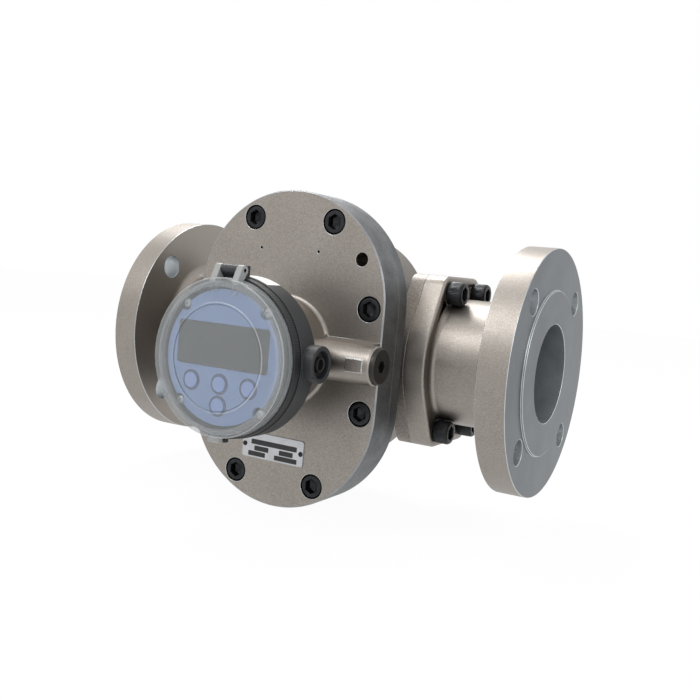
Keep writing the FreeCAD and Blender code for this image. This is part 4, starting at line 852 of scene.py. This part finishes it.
@dataclass
class Display:
    """The display housing with its front panel, keys and hinged lid."""
    bezel_radius: float = 56.3 * MM
    margin: float = 0.4 * MM
    lid_bore: float = 52.8 * MM
    lid_wall: float = 2.2 * MM
    lid_front: float = 182.2 * MM
    lid_face: float = 2.2 * MM
    lid_rear: float = 171.5 * MM
    lid_edge: float = 2.5 * MM
    lid_window: float = 48.6 * MM
    lid_ring_radius: float = 37.1 * MM
    lid_ring_rise: float = 0.4 * MM
    lid_ring_top: float = 0.4 * MM
    lid_ring_foot: float = 1.0 * MM
    flank_reach: float = 0.45 * MM
    corner_reach: float = 1.3 * MM
    corner_slopes: tuple[float, float] = (0.55, 0.85)
    wall_slope: float = 0.8
    lid_columns: int = 256
    gland_columns: int = 96
    rim_columns: int = 64
    ear_radius: float = 3.6 * MM
    ear_width: float = 5.0 * MM
    web_radius: float = 1.5 * MM
    web_front: float = 3.2 * MM
    web_rear: float = 4.2 * MM
    rib_end: float = 43.0 * MM
    rib_depth: float = 3.0 * MM
    rib_width: float = 0.5 * MM
    tab_rear: float = 173.7 * MM
    tab_depth: float = 4.5 * MM
    tab_half: float = 5.0 * MM
    tab_gap: float = 1.1 * MM
    key_radius: float = 5.6 * MM
    key_gap: float = 0.25 * MM
    key_flat: float = 0.97
    key_rim_width: float = 1.5 * MM
    key_rim_rise: float = 0.16 * MM
    screw_circle: float = 48.0 * MM
    screw_seat: float = 172.7 * MM
    gland_recess: float = 9.5 * MM
    gland_dish: float = 3.0 * MM
    gland_tube: float = 5.2 * MM
    gland_tube_bore: float = 4.0 * MM
    keys: dict[str, Body] = field(default_factory=lambda: {
        "left_key": Body.LEFT_KEY, "middle_key": Body.MIDDLE_KEY,
        "right_key": Body.RIGHT_KEY, "lower_key": Body.LOWER_KEY})

    def bezel_zones(self, centre: np.ndarray, normal: np.ndarray) -> np.ndarray:
        """Zone 1 is the ribbed outer side of the ring, zone 0 the rest."""
        reach = np.hypot(centre[:, 0] - DIAL.x, centre[:, 2] - DIAL.z)
        return (np.abs(reach - self.bezel_radius) < self.margin) & (np.abs(normal[:, 1]) < SHEER)

    def key_zones(self, centre: np.ndarray, normal: np.ndarray) -> np.ndarray:
        """Zone 1 is a key's side and its rounded shoulder, coloured darker as painted shade, zone 0 its flat top."""
        return np.abs(normal[:, 1]) < self.key_flat

    def lid_zones(self, centre: np.ndarray, normal: np.ndarray) -> np.ndarray:
        """Zone 1 is the side wall, 2 and 3 the ring's inner and outer slopes, 3 also the corners, 4 the rim. Zones 1
        and 2 are darker as painted shade, zone 3 lighter as painted highlight.

        Args:
            centre: the faces' centres.
            normal: the faces' normals.

        Returns:
            Each face's zone.
        """
        reach = np.hypot(centre[:, 0] - DIAL.x, centre[:, 2] - DIAL.z)
        slope = np.abs(normal[:, 1])
        low, high = self.corner_slopes
        wall = (reach > self.lid_bore - self.margin) & (slope < self.wall_slope)
        flank = (self.lid_ring_top + self.lid_ring_foot) / 2
        inner = (np.abs(reach - self.lid_ring_radius + flank) < self.flank_reach) & (slope < FLAT)
        outer = (np.abs(reach - self.lid_ring_radius - flank) < self.flank_reach) & (slope < FLAT)
        corner = (reach > self.lid_bore - self.corner_reach) & (slope > low) & (slope < high)
        rim = (reach > self.lid_window) & (slope > high)
        return np.select([inner, outer | corner, wall, rim], [2, 3, 1, 4], 0)

    def lid(self) -> None:
        """Build the lid: a turned cap with a rounded edge and a low ring, then its ears and its lift tab."""
        front, inside, rear = self.lid_front, self.lid_front - self.lid_face, self.lid_rear
        bore, outer, ring = self.lid_bore, self.lid_bore + self.lid_wall, self.lid_ring_radius
        top, foot, crest = self.lid_ring_top, self.lid_ring_foot, front + self.lid_ring_rise
        turns = np.linspace(0, np.pi / 2, 9)
        arc = np.stack([outer - self.lid_edge * (1 - np.cos(turns)), front - self.lid_edge * (1 - np.sin(turns))], 1)
        chamfer, corner = 0.3 * MM, 1.2 * MM
        rows = np.concatenate([
            np.array([(0, inside), (self.lid_window, inside), (bore - corner, inside),
                      (bore - 0.35 * MM, inside - 0.35 * MM), (bore, inside - corner), (bore, rear + chamfer),
                      (bore + chamfer, rear), (outer - chamfer, rear), (outer, rear + chamfer)]),
            arc,
            np.array([(self.lid_window, front), (ring + foot, front), (ring + top, crest), (ring - top, crest),
                      (ring - foot, front), (0, front)])])
        mesh = turned("lid_cap", rows, self.lid_columns, [(DIAL.x, 0.0, DIAL.z)], Facing.FRONT)
        piece("lid_cap", mesh, [LID, LID_WALL_SHADE, LID_SHADE, LID_EDGE_HIGHLIGHT, LID_RIM], Body.LID, "display_lid")
        # The wall and the ring's inner slope take painted shade, the ring's outer slope and the corners painted
        # highlight.
        mark(mesh, self.lid_zones)
        self.lid_ears(inside, DIAL.z + bore - 0.6 * MM)
        self.lid_tab(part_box("display_lid")[0].z, DIAL.z - bore - self.tab_gap)

    def lid_ears(self, inside: float, web: float) -> None:
        """Build the hinge ears, and the thin ribs that run on from their sides behind the lid's face.

        Args:
            inside: the back of the lid's face, as a distance forwards.
            web: the height of the ears' roots.
        """
        low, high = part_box("lid_hinge_pin")
        width, reach = self.ear_width, high.x - DIAL.x
        ear = hull([((low.y + high.y) / 2, (low.z + high.z) / 2, self.ear_radius),
                    (-(self.lid_front - self.web_front), web, self.web_radius),
                    (-(self.lid_rear + self.web_rear), web, self.web_radius)])
        starts = [(DIAL.x - reach, DIAL.x - reach + width), (DIAL.x + reach - width, DIAL.x + reach)]
        soften(piece("lid_ears", prisms("lid_ears", [ear, ear], starts), [LID_EAR], Body.LID), 0.35)
        end, back, thin = DIAL.z + self.rib_end, -(inside - self.rib_depth), self.rib_width
        rib = np.array([(-inside, web), (-inside, end), (back, end + self.rib_depth), (back, web)])
        spans = [(x, x + thin) for pair in starts for x in (pair[0], pair[1] - thin)]
        soften(piece("lid_ribs", prisms("lid_ribs", [rib] * 4, spans), [LID], Body.LID), 0.1)

    def lid_tab(self, low: float, high: float) -> None:
        """Build the lift tab.

        Args:
            low: the height of its lower end.
            high: the height of its root.
        """
        rear, front = -self.tab_rear, -(self.tab_rear + self.tab_depth)
        tab = np.array([(rear, low), (front, low), (front, high), (rear, high)])
        span = (DIAL.x - self.tab_half, DIAL.x + self.tab_half)
        soften(piece("lid_tab", prisms("lid_tab", [tab], [span]), [LID_EAR], Body.LID), 0.6)

    def key_shade_rims(self) -> None:
        """Build the moulded rim round each key: a low ring with rounded edges, coloured dark as painted shade of the
        gap round the key.
        """
        inner, rise, sink = self.key_radius + self.key_gap, self.key_rim_rise, -0.05 * MM
        outer = inner + self.key_rim_width
        rows = np.array([(inner, sink), (inner, rise * 0.6), (inner + rise, rise), (outer - rise, rise),
                         (outer, rise * 0.5), (outer, sink), (inner, sink)])
        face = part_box("fascia")[0].y
        places = [((low.x + high.x) / 2, face, (low.z + high.z) / 2) for low, high in map(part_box, self.keys)]
        mesh = turned("key_shade_rims", rows, self.rim_columns, places, Facing.FRONT)
        piece("key_shade_rims", mesh, [KEY_RIM_SHADE], Body.METER)

    def screws(self) -> None:
        """Build the four panel screws on their circle, at the odd eighths of a turn."""
        reach = self.screw_circle / math.sqrt(2)
        seats = [(DIAL.x + i * reach, -self.screw_seat, DIAL.z + j * reach) for i in (-1, 1) for j in (-1, 1)]
        PanScrews("panel_screws", "fascia_screws", seats, Facing.FRONT, head_radius=3.4 * MM, head_height=2.4 * MM,
                  socket_flats=2.2 * MM, socket_depth=1.1 * MM, shank_radius=1.5 * MM, shank_length=19.0 * MM,
                  finish=DULL).build()

    def gland(self) -> None:
        """Build the blanked gland insert: a dished ring with a short tube standing in its middle."""
        low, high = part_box("gland_nut")
        back, dish = low.x - high.x, -self.gland_dish
        recess, tube, bore = self.gland_recess, self.gland_tube, self.gland_tube_bore
        rows = np.array([(0, back), (recess, back), (recess, dish - 0.4 * MM), (recess - 0.5 * MM, dish),
                         (tube + 0.3 * MM, dish), (tube, dish + 0.4 * MM), (tube, -0.5 * MM), (tube - 0.25 * MM, 0),
                         (bore + 0.25 * MM, 0), (bore, -0.3 * MM), (bore, dish - 0.6 * MM), (0, dish - 1.0 * MM)])
        seat = (high.x, (low.y + high.y) / 2, (low.z + high.z) / 2)
        mesh = turned("gland_insert", rows, self.gland_columns, [seat], Facing.OUTLET)
        piece("gland_insert", mesh, [BLACK], Body.METER, "gland_nut", "gland_seal")

    def build(self) -> None:
        """Dress the moulded pieces and build the small ones."""
        dress("display_housing", [HOUSING], bevel=0.4)
        dress("display_bezel", [HOUSING, RIBS], zones=self.bezel_zones, bevel=0.3)
        dress("serial_label", [LABEL], bevel=0.0)
        dress("fascia", [FASCIA], bevel=0.3)
        dress("lcd_window", [LCD], bevel=0.2)
        # The keys' sides and shoulders are coloured darker as painted shade.
        for node, body in self.keys.items():
            dress(node, [KEYS, KEY_SIDE_SHADE], body, bevel=0.0, zones=self.key_zones)
        dress("lid_hinge_pin", [BLACK_OXIDE], bevel=0.1)
        self.key_shade_rims()
        self.screws()
        self.gland()
        self.lid()


@dataclass
class Fittings:
    """The conduit plug and the plate on the cover."""
    screw_spread: float = 25.5 * MM
    field_sink: float = 0.1 * MM
    field_rise: float = 0.05 * MM
    fields: tuple[tuple[float, float, float, float], ...] = (
        (-19.8, 22.0, 0.6, 4.6), (-16.6, -3.5, -4.2, -0.4), (6.2, 18.7, -4.2, -0.4),
        (-22.0, -6.3, -8.6, -4.9), (2.1, 22.6, -8.6, -4.9))

    def build(self) -> None:
        """Dress the plug and the plate, print the plate's blank fields, and build its drive screws."""
        dress("conduit_plug", [PLUG], bevel=0.3)
        dress("nameplate", [PLATE], bevel=0.1)
        low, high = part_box("nameplate")
        across, up = (low.x + high.x) / 2, (low.z + high.z) / 2
        spans = np.array(self.fields) * MM + np.array((across, across, up, up))
        mesh = tiles("plate_fields", spans, low.y, self.field_sink, self.field_rise)
        piece("plate_fields", mesh, [PRINT], Body.METER)
        seats = [(across + side * self.screw_spread, low.y, up) for side in (-1, 1)]
        PanScrews("plate_drive_screws", "nameplate_screws", seats, Facing.FRONT, head_radius=1.9 * MM,
                  head_height=0.9 * MM, socket_flats=1.2 * MM, socket_depth=0.5 * MM, shank_radius=1.0 * MM,
                  shank_length=5.8 * MM).build()


# Studio

@dataclass
class Studio:
    """Camera, floor, soft lamps and a white surround."""
    eye: tuple[float, float, float] = (539.4 * MM, -658.0 * MM, 64.5 * MM)
    turn: float = 28.74
    rise: float = 5.14
    roll: float = 5.19
    focal_pixels: float = 880.5
    frame_pixels: int = 700
    sensor: float = 36.0
    aim: tuple[float, float, float] = (0.18, -0.03, 0.0)
    level: float = 0.88
    floor_reach: float = 4.0
    floor_drop: float = 0.5 * MM
    floor_share: float = 0.96

    def camera(self) -> None:
        """Place the camera as the photograph's: turned round the meter, raised and rolled."""
        a, e, r = (math.radians(v) for v in (self.turn, self.rise, self.roll))
        back = Vector((math.sin(a) * math.cos(e), -math.cos(a) * math.cos(e), math.sin(e)))
        right = Vector((math.cos(a), math.sin(a), 0))
        up = back.cross(right)
        side = math.cos(r) * right + math.sin(r) * up
        head = -math.sin(r) * right + math.cos(r) * up
        lens = bpy.data.cameras.new("camera")
        lens.sensor_width = self.sensor
        lens.lens = self.focal_pixels * self.sensor / self.frame_pixels
        made = bpy.data.objects.new("camera", lens)
        made.matrix_world = Matrix.Translation(self.eye) @ Matrix((side, head, back)).transposed().to_4x4()
        bpy.context.scene.collection.objects.link(made)
        bpy.context.scene.camera = made

    def lamp(self, name: str, place: Sequence[float], size: float, power: float) -> None:
        """Add a soft square lamp that faces the meter.

        Args:
            name: its name.
            place: where it hangs, in metres.
            size: its side in metres.
            power: its power in watts.
        """
        light = bpy.data.lights.new(name, "AREA")
        light.shape = "SQUARE"
        light.size = size
        light.energy = power
        made = bpy.data.objects.new(name, light)
        made.location = place
        made.rotation_euler = (Vector(self.aim) - Vector(place)).to_track_quat("-Z", "Y").to_euler()
        bpy.context.scene.collection.objects.link(made)

    def seen(self, tree: bpy.types.NodeTree) -> bpy.types.NodeSocket:
        """Tell the rays that show the background from those that light the meter.

        Args:
            tree: the node tree that asks.

        Returns:
            1 for camera, glossy and transmission rays, and 0 for the rest.
        """
        path = add(tree, "ShaderNodeLightPath")
        first = add(tree, "ShaderNodeMath", {
            0: path.outputs["Is Camera Ray"], 1: path.outputs["Is Glossy Ray"]}, operation="MAXIMUM")
        both = add(tree, "ShaderNodeMath", {
            0: first.outputs[0], 1: path.outputs["Is Transmission Ray"]}, operation="MAXIMUM")
        return both.outputs[0]

    def world(self) -> None:
        """White to the camera and in reflections, a plain grey level as light."""
        world = bpy.data.worlds.new("studio")
        bpy.context.scene.world = world
        world.use_nodes = True
        tree = world.node_tree
        tree.nodes.clear()
        level = add(tree, "ShaderNodeMapRange", {"Value": self.seen(tree), "To Min": self.level, "To Max": 1.0})
        sky = add(tree, "ShaderNodeBackground", {"Strength": level.outputs["Result"]})
        sky.inputs["Color"].default_value = (1.0, 1.0, 1.0, 1.0)
        add(tree, "ShaderNodeOutputWorld", {"Surface": sky.outputs["Background"]})

    def floor(self) -> None:
        """Lay a plain pale floor under the meter."""
        low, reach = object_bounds()[0].z - self.floor_drop, self.floor_reach
        corners = [(-reach, -reach, low), (reach, -reach, low), (reach, reach, low), (-reach, reach, low)]
        mesh = bpy.data.meshes.new("floor")
        mesh.from_pydata(corners, [], [(0, 1, 2, 3)])
        made = bpy.data.objects.new("floor", mesh)
        bpy.context.scene.collection.objects.link(made)
        paper = bpy.data.materials.new("floor_paper")
        paper.use_nodes = True
        tree = paper.node_tree
        tree.nodes.clear()
        matt = add(tree, "ShaderNodeBsdfDiffuse", {"Color": linear("f2f2f2")})
        glow = add(tree, "ShaderNodeEmission", {"Color": (1.0, 1.0, 1.0, 1.0), "Strength": 1.0})
        share = add(tree, "ShaderNodeMath", {0: self.seen(tree), 1: self.floor_share}, operation="MULTIPLY")
        mix = add(tree, "ShaderNodeMixShader", {0: share.outputs[0], 1: matt.outputs[0], 2: glow.outputs[0]})
        add(tree, "ShaderNodeOutputMaterial", {"Surface": mix.outputs[0]})
        mesh.materials.append(paper)
        made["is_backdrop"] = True

    def build(self) -> None:
        """Set up the camera, the floor, the lamps and the surround."""
        bpy.context.scene.view_settings.view_transform = "Standard"
        self.camera()
        self.world()
        self.floor()
        self.lamp("key", (-0.35, -1.1, 1.15), 0.7, 8.0)
        self.lamp("top", (-0.3, 0.42, 1.05), 0.55, 13.0)
        self.lamp("side", (1.5, -0.35, 0.55), 0.6, 3.5)


def main() -> None:
    """Build the meter's pieces in order, then the studio."""
    logging.basicConfig(level=logging.INFO, format="%(name)s: %(message)s")
    castings = Castings()
    for assembly in (castings, Fasteners(castings), Works(), Display(), Fittings(), Studio()):
        assembly.build()
        LOG.info("built %s", type(assembly).__name__)


if __name__ == "__main__":
    main()
